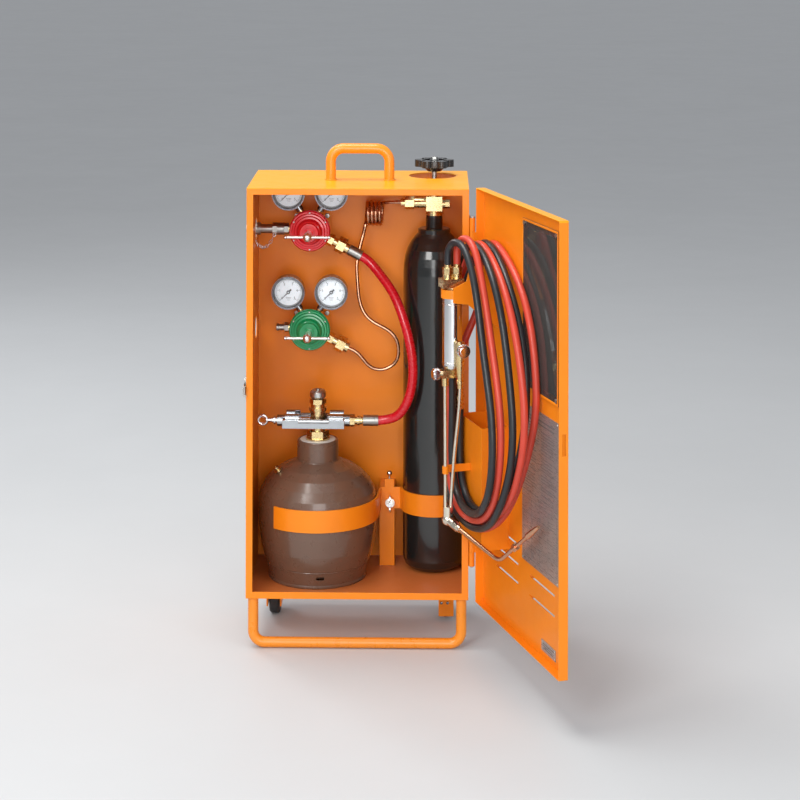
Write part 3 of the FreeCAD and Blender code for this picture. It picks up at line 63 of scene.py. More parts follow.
# ------------------------------------------------------------------ materials
def srgb(r, g, b):
    out = []
    for v in (r, g, b):
        v /= 255.0
        out.append(v / 12.92 if v <= 0.04045 else ((v + 0.055) / 1.055) ** 2.4)
    return tuple(out) + (1.0,)


def shade(c, k):
    return tuple(min(1.0, v * k) for v in c[:3]) + (1.0,)


class Mat:
    """A procedural surface: cloudy colour, uneven gloss, fine relief, softened edges with a painted highlight along
    them.
    """

    def __init__(self, name, color, metallic=0.0, rough=0.4, coat=0.0, var=0.08, vscale=18.0, bump=0.05, bscale=500.0,
                 edge=0.0, edge_highlight_k=1.35, rvar=0.08, stretch=(1, 1, 1), dirt=0.0, spec=0.5, sheen=0.0):
        self.m = bpy.data.materials.new(name)
        self.m.use_nodes = True
        nt = self.nt = self.m.node_tree
        self.b = nt.nodes["Principled BSDF"]
        self.out = nt.nodes["Material Output"]
        self.m.diffuse_color = color
        tc = self.node("ShaderNodeTexCoord")
        mp = self.node("ShaderNodeMapping")
        mp.inputs["Scale"].default_value = stretch
        self.link(tc.outputs["Object"], mp.inputs["Vector"])
        self.vec = mp.outputs["Vector"]
        n1 = self.noise(vscale, 6.0, 0.6)
        ramp = self.node("ShaderNodeValToRGB")
        ramp.color_ramp.elements[0].position = 0.3
        ramp.color_ramp.elements[1].position = 0.7
        ramp.color_ramp.elements[0].color = shade(color, 1.0 - var)
        ramp.color_ramp.elements[1].color = shade(color, 1.0 + var)
        self.link(n1, ramp.inputs["Fac"])
        col = ramp.outputs["Color"]
        if dirt > 0:
            n4 = self.noise(vscale * 0.35, 9.0, 0.75)
            mr = self.maprange(n4, 0.55, 0.8, 0.0, dirt)
            col = self.mix(mr, col, shade(color, 0.35))
        n2 = self.noise(vscale * 5.0, 5.0, 0.6)
        rg = self.maprange(n2, 0.3, 0.7, max(0.02, rough - rvar), rough + rvar)
        self.link(rg, self.b.inputs["Roughness"])
        self.b.inputs["Metallic"].default_value = metallic
        self.b.inputs["Coat Weight"].default_value = coat
        self.b.inputs["Coat Roughness"].default_value = 0.06
        self.b.inputs["Specular IOR Level"].default_value = spec
        if sheen:
            self.b.inputs["Sheen Weight"].default_value = sheen
        bp = self.node("ShaderNodeBump")
        bp.inputs["Strength"].default_value = bump
        bp.inputs["Distance"].default_value = 0.0006
        n3 = self.noise(bscale, 3.0, 0.5)
        self.link(n3, bp.inputs["Height"])
        self.bump = bp
        if edge > 0:
            bv = self.node("ShaderNodeBevel")
            bv.samples = 4
            bv.inputs["Radius"].default_value = edge
            self.link(bv.outputs["Normal"], bp.inputs["Normal"])
            geo = self.node("ShaderNodeNewGeometry")
            dt = self.node("ShaderNodeVectorMath")
            dt.operation = "DOT_PRODUCT"
            self.link(bv.outputs["Normal"], dt.inputs[0])
            self.link(geo.outputs["Normal"], dt.inputs[1])
            # painted highlight: the colour is lightened along the edges found from the bevel normal
            edge_highlight_mask = self.maprange(dt.outputs["Value"], 0.99, 0.86, 0.0, 0.75)
            col = self.mix(edge_highlight_mask, col, shade(color, edge_highlight_k))
        self.link(bp.outputs["Normal"], self.b.inputs["Normal"])
        self.link(bp.outputs["Normal"], self.b.inputs["Coat Normal"]) if coat else None
        self.link(col, self.b.inputs["Base Color"])
        self.col = col

    def node(self, kind):
        return self.nt.nodes.new(kind)

    def link(self, a, b):
        self.nt.links.new(a, b)

    def noise(self, scale, detail=4.0, rough=0.5, vec=None):
        n = self.node("ShaderNodeTexNoise")
        n.inputs["Scale"].default_value = scale
        n.inputs["Detail"].default_value = detail
        n.inputs["Roughness"].default_value = rough
        self.link(vec or self.vec, n.inputs["Vector"])
        return n.outputs["Fac"]

    def maprange(self, v, a, b, c, d):
        n = self.node("ShaderNodeMapRange")
        n.inputs["From Min"].default_value = a
        n.inputs["From Max"].default_value = b
        n.inputs["To Min"].default_value = c
        n.inputs["To Max"].default_value = d
        self.link(v, n.inputs["Value"])
        return n.outputs["Result"]

    def math(self, op, a, b=None):
        n = self.node("ShaderNodeMath")
        n.operation = op
        for i, v in enumerate((a, b)):
            if v is None:
                continue
            if isinstance(v, (int, float)):
                n.inputs[i].default_value = v
            else:
                self.link(v, n.inputs[i])
        return n.outputs["Value"]

    def mix(self, fac, a, b):
        n = self.node("ShaderNodeMix")
        n.data_type = "RGBA"
        self.link(fac, n.inputs[0])
        if isinstance(a, tuple):
            n.inputs[6].default_value = a
        else:
            self.link(a, n.inputs[6])
        if isinstance(b, tuple):
            n.inputs[7].default_value = b
        else:
            self.link(b, n.inputs[7])
        return n.outputs[2]

    def recolour(self, socket):
        self.link(socket, self.b.inputs["Base Color"])
        self.col = socket

    def xyz(self):
        tc = self.node("ShaderNodeTexCoord")
        s = self.node("ShaderNodeSeparateXYZ")
        self.link(tc.outputs["Object"], s.inputs["Vector"])
        return s.outputs

    def see_through(self, amount, tint=(1, 1, 1, 1)):
        """Part transparent, with the gloss kept: a thin clear sheet."""
        tr = self.node("ShaderNodeBsdfTransparent")
        tr.inputs["Color"].default_value = tint
        mx = self.node("ShaderNodeMixShader")
        fr = self.node("ShaderNodeFresnel")
        fr.inputs["IOR"].default_value = 1.45
        f = self.maprange(fr.outputs["Fac"], 0.0, 1.0, 1.0 - amount, 1.0)
        self.link(f, mx.inputs["Fac"])
        self.link(tr.outputs["BSDF"], mx.inputs[1])
        self.link(self.b.outputs["BSDF"], mx.inputs[2])
        self.link(mx.outputs["Shader"], self.out.inputs["Surface"])


ORANGE = srgb(240, 134, 22)
orange = Mat("orange_paint", ORANGE, rough=0.36, coat=0.08, var=0.04, vscale=9, bump=0.10, bscale=620, edge=0.0009,
             edge_highlight_k=1.5, rvar=0.05, dirt=0.05, spec=0.3)
tube_orange = Mat("orange_tube", srgb(240, 142, 30), rough=0.3, coat=0.15, var=0.04, vscale=14, bump=0.10, bscale=500, rvar=0.05, dirt=0.05)
zinc = Mat("zinc_steel", (0.50, 0.50, 0.48, 1), metallic=1.0, rough=0.34, var=0.12, vscale=60, bump=0.04, bscale=900, edge=0.0004, edge_highlight_k=1.4, dirt=0.15)
black = Mat("black_paint", (0.010, 0.012, 0.012, 1), rough=0.2, coat=0.35, var=0.15, vscale=12, bump=0.07, bscale=260, rvar=0.05, spec=0.6)
brown = Mat("brown_paint", srgb(104, 78, 63), rough=0.30, coat=0.4, var=0.06, vscale=10, bump=0.10, bscale=300, rvar=0.07, dirt=0.16)
brass = Mat("brass", (0.74, 0.57, 0.29, 1), metallic=1.0, rough=0.26, var=0.12, vscale=55, bump=0.02, bscale=800, edge=0.0005, edge_highlight_k=1.25,
            dirt=0.10)
chrome = Mat("chrome", (0.76, 0.76, 0.77, 1), metallic=1.0, rough=0.10, var=0.04, vscale=40, bump=0.012, bscale=500, edge=0.0005, edge_highlight_k=1.15,
             rvar=0.05, dirt=0.10)
red_enamel = Mat("red_enamel", srgb(216, 22, 36), rough=0.24, coat=0.5, var=0.06, vscale=30, bump=0.05, bscale=500, edge=0.0005, edge_highlight_k=1.5, rvar=0.04)
green_enamel = Mat("green_enamel", srgb(16, 146, 86), rough=0.24, coat=0.5, var=0.06, vscale=30, bump=0.05, bscale=500, edge=0.0005, edge_highlight_k=1.5,
                   rvar=0.04)
dial = Mat("dial_white", (0.93, 0.96, 1.0, 1), rough=0.5, var=0.015, vscale=60, bump=0.03, bscale=1500)
# painted light: the dial glows faintly so it reads bright inside its shaded recess
dial.b.inputs["Emission Color"].default_value = (0.86, 0.93, 1.0, 1)
dial.b.inputs["Emission Strength"].default_value = 0.16
gunmetal = Mat("gauge_case_dark", (0.24, 0.25, 0.27, 1), metallic=1.0, rough=0.24, var=0.08, vscale=40, bump=0.04, bscale=700, edge=0.0005, edge_highlight_k=1.8,
               rvar=0.05, dirt=0.1)
satin = Mat("satin_chrome", (0.88, 0.87, 0.83, 1), metallic=1.0, rough=0.30, var=0.05, vscale=40, bump=0.015, bscale=500, edge=0.0005, edge_highlight_k=1.15,
            rvar=0.05, dirt=0.05)
yoke_metal = Mat("yoke_chrome", (0.46, 0.48, 0.50, 1), metallic=1.0, rough=0.16, var=0.06, vscale=40, bump=0.012, bscale=500, edge=0.0008, edge_highlight_k=1.9,
                 rvar=0.05, dirt=0.12)
steel_dull = Mat("coupling_steel", (0.36, 0.35, 0.33, 1), metallic=1.0, rough=0.34, var=0.14, vscale=60, bump=0.10, bscale=900, edge=0.0005, edge_highlight_k=1.7,
                 dirt=0.25)
lens = Mat("gauge_glass", (0.9, 0.93, 0.96, 1), rough=0.03, var=0.01, vscale=30, bump=0.01, bscale=100, rvar=0.01)
lens.see_through(0.97)
hose_bright = Mat("hose_bright_red", srgb(204, 16, 36), rough=0.26, coat=0.35, var=0.07, vscale=35, bump=0.14, bscale=420, rvar=0.06)
hose_red = Mat("hose_red", srgb(196, 64, 46), rough=0.42, coat=0.08, var=0.08, vscale=28, bump=0.22, bscale=520, rvar=0.07, dirt=0.10)
hose_black = Mat("hose_black", srgb(30, 34, 38), rough=0.38, coat=0.08, var=0.18, vscale=28, bump=0.22, bscale=520, rvar=0.07)
copper = Mat("copper", (0.62, 0.34, 0.21, 1), metallic=1.0, rough=0.24, var=0.14, vscale=45, bump=0.02, bscale=600, dirt=0.35)
tyre = Mat("black_rubber", (0.022, 0.022, 0.023, 1), rough=0.62, var=0.25, vscale=35, bump=0.35, bscale=600, dirt=0.2)
plastic = Mat("black_plastic", (0.014, 0.014, 0.015, 1), rough=0.25, coat=0.3, var=0.15, vscale=30, bump=0.08, bscale=500, edge=0.0008, edge_highlight_k=3.0)
pane = Mat("window_acrylic", (0.16, 0.15, 0.145, 1), rough=0.04, var=0.10, vscale=7, bump=0.06, bscale=14, rvar=0.03, coat=0.5)
pane.see_through(0.80, (0.50, 0.50, 0.48, 1))
plate = Mat("plate_aluminium", srgb(168, 166, 164), metallic=0.6, rough=0.30, var=0.08, vscale=14, bump=0.012, bscale=200, stretch=(1, 1, 14))
nickel = Mat("nickel_brass", (0.74, 0.68, 0.56, 1), metallic=1.0, rough=0.2, var=0.08, vscale=50, bump=0.015, bscale=700, edge=0.0004, edge_highlight_k=1.3, dirt=0.25)
white_paint = Mat("white_print", srgb(226, 228, 224), rough=0.45, var=0.03, vscale=60, bump=0.03, bscale=700)
ink = Mat("dial_ink", (0.02, 0.02, 0.022, 1), rough=0.5, var=0.1, vscale=80, bump=0.03, bscale=700)
print_grey = Mat("print_grey", srgb(92, 96, 96), rough=0.5, var=0.06, vscale=80, bump=0.03, bscale=700)

SLOT_MAT = {"orange_paint": orange, "zinc_steel": zinc, "black_paint": black, "brown_paint": brown, "brass": brass, "chrome": chrome,
            "red_enamel": red_enamel, "green_enamel": green_enamel, "dial_white": dial, "gauge_glass": lens, "red_rubber": hose_red,
            "bright_red_rubber": hose_bright, "copper": copper, "black_rubber": tyre, "black_plastic": plastic,
            "window_acrylic": pane, "plate_aluminium": plate, "nickel_brass": nickel}
SLOT_OF = {s["node"]: s["material_slot"] for s in frame["record"]["subparts"]}
SPECIAL = {"carry_handle": tube_orange, "front_foot": tube_orange, "torch_hose_black": hose_black, "torch_hose_red": hose_red,
           "supply_hose": hose_bright, "gauge_cases": gunmetal, "regulator_outlets": steel_dull,
           "acetylene_adjusting_screw": satin, "oxygen_adjusting_screw": satin, "yoke_frame": yoke_metal, "strap_wing_nut": satin}


def set_mat(o, mat):
    o.data.materials.clear()
    o.data.materials.append(mat.m)


x = orange.xyz()
# painted shade: the top surface of the cabinet's inner floor is mixed towards a darker brown orange
floor_shade_mask = orange.math("MULTIPLY", orange.maprange(x[2], 0.0872, 0.0868, 0.0, 1.0), orange.maprange(x[1], -0.113, -0.112, 0.0, 1.0))
floor_shade_mask = orange.math("MULTIPLY", floor_shade_mask, orange.maprange(x[2], 0.0858, 0.0862, 0.0, 1.0))
# painted highlight: the cabinet's top face is mixed towards yellow, as if strongly lit from above
top = orange.math("MULTIPLY", orange.maprange(x[2], 0.7655, 0.7665, 0.0, 1.0), 0.75)
lit = orange.mix(top, orange.col, srgb(246, 172, 16))
orange.recolour(orange.mix(orange.math("MULTIPLY", floor_shade_mask, 0.75), lit, srgb(186, 106, 66)))

for name, o in N.items():
    set_mat(o, SPECIAL.get(name) or SLOT_MAT[SLOT_OF[name]])


# ------------------------------------------------------------------ building blocks
def finish_mesh(name, bm, mat, body, smooth=True, angle=40):
    me = bpy.data.meshes.new(name)
    bmesh.ops.recalc_face_normals(bm, faces=bm.faces)
    bm.to_mesh(me)
    bm.free()
    o = bpy.data.objects.new(name, me)
    bpy.context.scene.collection.objects.link(o)
    if smooth:
        for p in me.polygons:
            p.use_smooth = True
        me.set_sharp_from_angle(angle=math.radians(angle))
    set_mat(o, mat)
    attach(o, body)
    return o


def axes_to(d):
    """Matrix that turns +Z to direction d."""
    return Vector(d).normalized().to_track_quat("Z", "Y").to_matrix().to_4x4()


def add_lathe(bm, profile, at, d, seg=40):
    """Profile of (r, h) metres turned about the line from at along d. Ends on the axis are closed."""
    m = Matrix.Translation(at) @ axes_to(d)
    rings = []
    for r, h in profile:
        if r < 1e-7:
            rings.append([bm.verts.new(m @ Vector((0, 0, h)))])
        else:
            rings.append([bm.verts.new(m @ Vector((r * math.cos(2 * math.pi * k / seg), r * math.sin(2 * math.pi * k / seg), h)))
                          for k in range(seg)])
    for a, b in zip(rings, rings[1:]):
        for k in range(seg):
            k2 = (k + 1) % seg
            if len(a) == 1 and len(b) == 1:
                continue
            if len(a) == 1:
                bm.faces.new((a[0], b[k], b[k2]))
            elif len(b) == 1:
                bm.faces.new((a[k], b[0], a[k2]))
            else:
                bm.faces.new((a[k], b[k], b[k2], a[k2]))


def add_ring(bm, centre, d, major, minor, seg=48, rings=10, wobble=0.0, arc=2 * math.pi, squash=1.0):
    m = Matrix.Translation(centre) @ axes_to(d)
    rows = []
    full = arc > 6.28
    for i in range(seg if full else seg + 1):
        a = arc * i / seg
        w = 1 + wobble * (0.6 * math.sin(a * 23) + 0.4 * random.uniform(-1, 1))
        rows.append([bm.verts.new(m @ Vector(((major + minor * w * math.cos(t)) * math.cos(a), (major + minor * w * math.cos(t)) * math.sin(a) * squash,
                                              minor * w * math.sin(t)))) for t in [2 * math.pi * j / rings for j in range(rings)]])
    for i in range(seg):
        a, b = rows[i], rows[(i + 1) % len(rows)]
        for j in range(rings):
            j2 = (j + 1) % rings
            bm.faces.new((a[j], b[j], b[j2], a[j2]))
    if not full:
        bm.faces.new(rows[0])
        bm.faces.new(rows[-1])


def add_block(bm, centre, sx, sy, sz, rot=None, bevel=0.0):
    m = Matrix.Translation(centre) @ (rot or Matrix.Identity(4)) @ Matrix.Diagonal((sx, sy, sz, 1))
    geo = bmesh.ops.create_cube(bm, size=1.0, matrix=m)
    if bevel > 0:
        edges = list({e for v in geo["verts"] for e in v.link_edges})
        bmesh.ops.bevel(bm, geom=edges, offset=bevel, segments=2, affect="EDGES", profile=0.6)


def add_hex(bm, at, d, flats, h, dome=0.0):
    """Hexagon head with a chamfered crown."""
    r = flats / math.sqrt(3)
    add_lathe(bm, [(0, 0), (r, 0), (r, h * 0.82), (r * 0.86, h), (0, h + dome)], at, d, seg=6)


def tube(name, pts, r, mat, body, slot, res=8, cyclic=False):
    cu = bpy.data.curves.new(name, "CURVE")
    cu.dimensions = "3D"
    sp = cu.splines.new("POLY")
    sp.points.add(len(pts) - 1)
    for p, q in zip(sp.points, pts):
        p.co = (q[0], q[1], q[2], 1)
    sp.use_cyclic_u = cyclic
    cu.bevel_depth = r
    cu.bevel_resolution = res
    cu.use_fill_caps = not cyclic
    o = bpy.data.objects.new(name, cu)
    bpy.context.scene.collection.objects.link(o)
    dg = bpy.context.evaluated_depsgraph_get()
    me = bpy.data.meshes.new_from_object(o.evaluated_get(dg))
    bpy.data.objects.remove(o)
    m = bpy.data.objects.new(name, me)
    bpy.context.scene.collection.objects.link(m)
    for p in me.polygons:
        p.use_smooth = True
    set_mat(m, mat)
    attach(m, body)
    return m


# ------------------------------------------------------------------ gauges: printed dials, black reveal rings
RX, ZR, ZG = -89.0, 586.5, 414.5
for gas, z in (("acetylene", ZR), ("oxygen", ZG)):
    for k, sx in (("low", -1), ("high", 1)):
        c = P(RX + sx * 37.3, 161.85, z + 64.5)
        bm = bmesh.new()
        for i in range(51):
            a = math.radians(225 - 270 * i / 50.0)
            big = i % 10 == 0
            r1, r0 = 0.0215, 0.0215 - (0.0042 if big else (0.003 if i % 5 == 0 else 0.0018))
            w = 0.0005 if big else 0.00028
            mid = c + Vector((math.cos(a), 0, math.sin(a))) * (r1 + r0) / 2
            rot = Matrix.Rotation(-a, 4, "Y")
            add_block(bm, mid, r1 - r0, 0.00012, w, rot)
        for i in range(60):
            a0, a1 = (math.radians(225 - 270 * (i + f) / 60.0) for f in (0, 1))
            mid = c + Vector((math.cos((a0 + a1) / 2), 0, math.sin((a0 + a1) / 2))) * 0.0218
            add_block(bm, mid, 0.00035, 0.00012, 0.0217 * (a0 - a1) * 1.02, Matrix.Rotation(-(a0 + a1) / 2, 4, "Y"))
        for j in range(3):                       # blank rule under the pointer where a unit would be printed
            add_block(bm, c + Vector((0, 0, -0.0095 - j * 0.0022)), 0.009 - j * 0.002, 0.00012, 0.0005)
        finish_mesh("dial_scale_%s_%s" % (gas, k), bm, ink, "cabinet", smooth=False)
        # numbers 0 to 5 round the scale
        for i in range(6):
            a = math.radians(225 - 54 * i)
            t = bpy.data.curves.new("num", "FONT")
            t.body = str(i)
            t.size = 0.0062
            t.align_x, t.align_y = "CENTER", "CENTER"
            t.extrude = 0.00005
            to = bpy.data.objects.new("num", t)
            bpy.context.scene.collection.objects.link(to)
            to.rotation_euler = (math.radians(90), 0, 0)
            to.location = c + Vector((math.cos(a) * 0.0152, 0, math.sin(a) * 0.0152))
            bpy.context.view_layer.update()
            me = bpy.data.meshes.new_from_object(to.evaluated_get(bpy.context.evaluated_depsgraph_get()))
            me.transform(to.matrix_world)
            bpy.data.objects.remove(to)
            m = bpy.data.objects.new("dial_number_%s_%s_%d" % (gas, k, i), me)
            bpy.context.scene.collection.objects.link(m)
            set_mat(m, ink)
            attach(m, "cabinet")
        # black reveal ring between the bezel and the dial
        bm = bmesh.new()
        add_lathe(bm, [(0.0259, 0), (0.0259, 0.0085), (0.0240, 0.0085), (0.0232, 0.0002), (0.0259, 0)], P(RX + sx * 37.3, 161.8, z + 64.5), (0, -1, 0), 64)
        finish_mesh("dial_reveal_%s_%s" % (gas, k), bm, plastic, "cabinet")
        # rolled bezel lip
        bm = bmesh.new()
        add_ring(bm, P(RX + sx * 37.3, 148.3, z + 64.5), (0, 1, 0), 0.02665, 0.0011, 72, 12)
        finish_mesh("bezel_lip_%s_%s" % (gas, k), bm, gunmetal, "cabinet")

# ------------------------------------------------------------------ bonnets: bright ring and screws
for gas, z, mat, slot in (("acetylene", ZR, red_enamel, "red_enamel"), ("oxygen", ZG, green_enamel, "green_enamel")):
    bm = bmesh.new()
    for i in range(6):
        a = math.radians(30 + 60 * i)
        add_lathe(bm, [(0, 0.0), (0.0016, 0.0), (0.0016, 0.0009), (0.0011, 0.0014), (0, 0.0015)],
                  P(RX + 31.7 * math.cos(a) * 0.995, 149.95, z + 31.7 * math.sin(a) * 0.995), (0, -1, 0), 14)
    finish_mesh("bonnet_screws_" + gas, bm, zinc, "cabinet")
    bm = bmesh.new()
    for r, y in ((0.0355, 155.5), (0.0355, 157.6)):
        add_ring(bm, P(RX, y, z), (0, 1, 0), r - 0.0003, 0.0005, 72, 8)
    finish_mesh("bonnet_beads_" + gas, bm, mat, "cabinet")
    bm = bmesh.new()
    for sx in (-1, 1):
        add_lathe(bm, [(0, 0), (0.0029, 0.0004), (0.0034, 0.002), (0.0029, 0.0036), (0.0023, 0.004), (0.0023, 0.0008), (0, 0.0008)],
                  P(RX + sx * 35.5, 86.5, z), (sx, 0, 0), 20)
    finish_mesh("bar_ends_" + gas, bm, chrome, gas + "_screw")

# ------------------------------------------------------------------ keeper chain of the dust cap on the acetylene outlet
bm = bmesh.new()
a0, a1 = P(RX - 62, 166.5, ZR - 8.5), P(RX - 103, 168.5, ZR - 5)
links = 13
for i in range(links):
    t = i / (links - 1.0)
    q = a0.lerp(a1, t) + Vector((0, -0.002, -0.024 * 4 * t * (1 - t)))
    t2 = t + 0.02
    q2 = a0.lerp(a1, t2) + Vector((0, -0.002, -0.024 * 4 * t2 * (1 - t2)))
    d = (q2 - q).normalized()
    side = Vector((0, 1, 0)) if i % 2 == 0 else d.cross(Vector((0, 1, 0))).normalized()
    zq = side.cross(d).normalized()
    m = Matrix((d.to_4d(), zq.to_4d(), side.to_4d(), (0, 0, 0, 1))).transposed()
    m.translation = q
    rows = []
    for s in range(16):
        a = 2 * math.pi * s / 16
        ctr = Vector((0.0036 * math.cos(a), 0.0022 * math.sin(a), 0))
        nrm = Vector((math.cos(a), math.sin(a), 0))
        rows.append([bm.verts.new(m.to_3x3() @ (ctr + nrm * 0.0008 * math.cos(b) + Vector((0, 0, 0.0008 * math.sin(b)))) + q)
                     for b in [2 * math.pi * j / 6 for j in range(6)]])
    for s in range(16):
        r0, r1 = rows[s], rows[(s + 1) % 16]
        for j in range(6):
            bm.faces.new((r0[j], r1[j], r1[(j + 1) % 6], r0[(j + 1) % 6]))
finish_mesh("keeper_chain", bm, chrome, "cabinet")

# ------------------------------------------------------------------ welds, bolts and screws
bm = bmesh.new()
for x, y, z, d in ((-50, 106, 682.4, 1), (50, 106, 682.4, 1), (-173.5, 13.5, -0.4, -1), (173.5, 13.5, -0.4, -1)):
    add_ring(bm, P(x, y, z), (0, 0, 1), 0.0090, 0.0016, 60, 8, wobble=0.22)
finish_mesh("tube_welds", bm, tube_orange, "cabinet")
bm = bmesh.new()
for z in (ZR, ZG):
    for sx in (-1, 1):
        for sz in (-1, 1):
            add_hex(bm, P(RX + sx * 27, 226.2, z + sz * 16), (0, -1, 0), 0.008, 0.004, 0.0004)
    for sx in (-1, 1):
        add_lathe(bm, [(0, 0), (0.0032, 0), (0.003, 0.0014), (0.0018, 0.0022), (0, 0.0024)], P(RX + sx * 15, 213.9, z + 19), (0, -1, 0), 20)
finish_mesh("bracket_bolts", bm, zinc, "cabinet")
bm = bmesh.new()
for x in (141, 151.5):
    add_lathe(bm, [(0, 0), (0.0026, 0), (0.0023, 0.0009), (0.0013, 0.0015), (0, 0.0016)], P(x, 146.1, -54), (0, -1, 0), 20)
finish_mesh("guard_plate_rivets", bm, gunmetal, "cabinet")
bm = bmesh.new()
for z0, z1 in ((56, 126), (564, 634)):
    for f in (0.14, 0.5, 0.86):
        zc = z0 + (z1 - z0) * f
        add_lathe(bm, [(0, 0), (0.0030, 0), (0.0026, 0.0010), (0.0014, 0.0017), (0, 0.0018)], P(187.0, 26, zc), (1, 0, 0), 20)
finish_mesh("hinge_screws_fixed", bm, zinc, "cabinet")
bm = bmesh.new()
for z0, z1 in ((56, 126), (564, 634)):
    for f in (0.14, 0.5, 0.86):
        zc = z0 + (z1 - z0) * f
        add_lathe(bm, [(0, 0), (0.0026, 0), (0.0023, 0.0009), (0.0013, 0.0015), (0, 0.0016)], D(-2.0, 9.5, zc), Dv(-1, 0, 0), 20)
finish_mesh("hinge_screws_door", bm, zinc, "door")

# ------------------------------------------------------------------ acetylene cylinder: collar ring, white ring, welds at the foot and under the collar
AX, AY, zf = -72.4, 127.0, 1.55
bm = bmesh.new()
add_ring(bm, P(AX, AY, zf + 230.2), (0, 0, 1), 0.0332, 0.0019, 72, 12)
finish_mesh("collar_rolled_rim", bm, brown, "cabinet")
bm = bmesh.new()
add_lathe(bm, [(0.0210, 0), (0.0300, 0.0), (0.0306, 0.0006), (0.0300, 0.0012), (0.0210, 0.0012), (0.0210, 0)], P(AX, AY, zf + 231.2), (0, 0, 1), 56)
finish_mesh("collar_white_ring", bm, white_paint, "cabinet")
bm = bmesh.new()
add_ring(bm, P(AX, AY, zf + 27.6), (0, 0, 1), 0.0876, 0.0015, 140, 8, wobble=0.18)
add_ring(bm, P(AX, AY, zf + 197.6), (0, 0, 1), 0.0362, 0.0014, 90, 8, wobble=0.18)
finish_mesh("cylinder_welds", bm, brown, "cabinet")

# ------------------------------------------------------------------ oxygen neck thread, handwheel ribs
OX, OY = 127.0, 174.0
bm = bmesh.new()
for i in range(9):
    add_ring(bm, P(OX, OY, 592 + i * 2.0), (0, 0, 1), 0.01425, 0.0006, 48, 6)
finish_mesh("oxygen_neck_thread", bm, black, "cabinet")
bm = bmesh.new()
for i in range(6):
    a = 2 * math.pi * (i + 0.5) / 6
    m = Matrix.Rotation(a, 4, "Z")
    add_block(bm, P(OX, OY, zf + 692.5 + 15.4) + m.to_3x3() @ Vector((0.0215, 0, 0)), 0.006, 0.0022, 0.0012, m, 0.0004)
finish_mesh("handwheel_ribs", bm, plastic, "oxygen_handwheel_body")

# ------------------------------------------------------------------ knurled rims on the torch's knobs
for name, at, d, r, body in (("oxygen", D(75, -90.4, 398), Dv(0, -1, 0), 0.0090, "torch_oxygen_knob_body"),
                             ("fuel", D(111.4, -62, 441), Dv(1, 0, 0), 0.0100, "torch_fuel_knob_body")):
    bm = bmesh.new()
    m = axes_to(d)
    for i in range(28):
        a = 2 * math.pi * i / 28
        rot = m @ Matrix.Rotation(a, 4, "Z")
        add_block(bm, at + d * 0.0042 + rot.to_3x3() @ Vector((r, 0, 0)), 0.0011, 0.0012, 0.0076, rot, 0.0003)
    finish_mesh("knurl_" + name, bm, chrome, body)

# ------------------------------------------------------------------ torch: grooves on the handle, jaws' rivets
bm = bmesh.new()
for z in (416, 510):
    add_ring(bm, D(75, -67, z), (0, 0, 1), 0.01585, 0.0010, 64, 10)
finish_mesh("handle_beads", bm, chrome, "door")
bm = bmesh.new()
for z in (474, 562):
    for u in (108, 116):
        add_lathe(bm, [(0, 0), (0.003, 0), (0.0026, 0.0012), (0.0013, 0.0019), (0, 0.002)], D(u, 11.2, z), Dv(0, -1, 0), 20)
finish_mesh("bracket_rivets", bm, zinc, "door")

# ------------------------------------------------------------------ door: panel print (plain rules and boxes), plate rivets
skin = 13.8
bm = bmesh.new()
random.seed(3)
nf = skin - 0.8 - 0.06
rdoor = Matrix.Rotation(TH, 4, "Z")


def bar(u0, u1, z0, z1, n=nf):
    c = (D(u0, n, z0) + D(u1, n, z1)) / 2
    add_block(bm, c, abs(u1 - u0) / 1000, 0.00010, abs(z1 - z0) / 1000, rdoor)


for z in (358, 352):
    bar(200, 318, z, z + 2.2)
for col, (ua, ub) in enumerate(((190, 255), (263, 328))):
    z = 342
    while z > 236:
        end = ub - random.uniform(0, 22)
        bar(ua, end, z, z + 1.3)
        z -= 4.6 if random.random() > 0.2 else 8.0
for z0, z1 in ((134, 226),):
    for k in range(5):
        bar(190, 328, z0 + k * (z1 - z0) / 4.0 - 0.3, z0 + k * (z1 - z0) / 4.0 + 0.3)
    for u in (190, 224, 259, 293, 328):
        bar(u - 0.3, u + 0.3, z0, z1)
for z, u1 in ((20.4, 318), (16.9, 312), (13.4, 316)):      # data plate: plain rules
    bar(275, u1, z, z + 1.5)
finish_mesh("panel_print", bm, print_grey, "door", smooth=False)
bm = bmesh.new()
for u, z in ((186.5, 368.5), (331.5, 368.5), (186.5, 128.5), (331.5, 128.5), (270, 12), (322, 12), (270, 23), (322, 23)):
    add_lathe(bm, [(0, 0), (0.0016, 0), (0.0013, 0.0008), (0.0006, 0.0011), (0, 0.0012)], D(u, skin - 0.85, z), Dv(0, -1, 0), 16)
finish_mesh("plate_rivets", bm, zinc, "door")
# folded rim round the window pane
bm = bmesh.new()
for u0, u1, z0, z1 in ((185, 337, 658.5, 662), (185, 337, 398, 401.5), (185, 188.5, 401.5, 658.5), (333.5, 337, 401.5, 658.5)):
    c = (D(u0, 11.4, z0) + D(u1, 11.4, z1)) / 2
    add_block(bm, c, abs(u1 - u0) / 1000, 0.0008, abs(z1 - z0) / 1000, rdoor, 0.0002)
finish_mesh("window_edge_trim", bm, orange, "door")

# ------------------------------------------------------------------ tyres: tread blocks
for side, sx in (("left", -1), ("right", 1)):
    bm = bmesh.new()
    c = P(sx * 149, 188, 37.5 - 85)
    for i in range(32):
        a = 2 * math.pi * i / 32
        rot = Matrix.Rotation(a, 4, "X")
        for s in (-1, 1):
            add_block(bm, c + rot.to_3x3() @ Vector((s * 0.0032, 0, 0.03725)), 0.0040, 0.0040, 0.0006, rot)
    finish_mesh("tread_" + side, bm, tyre, "wheel_" + side)

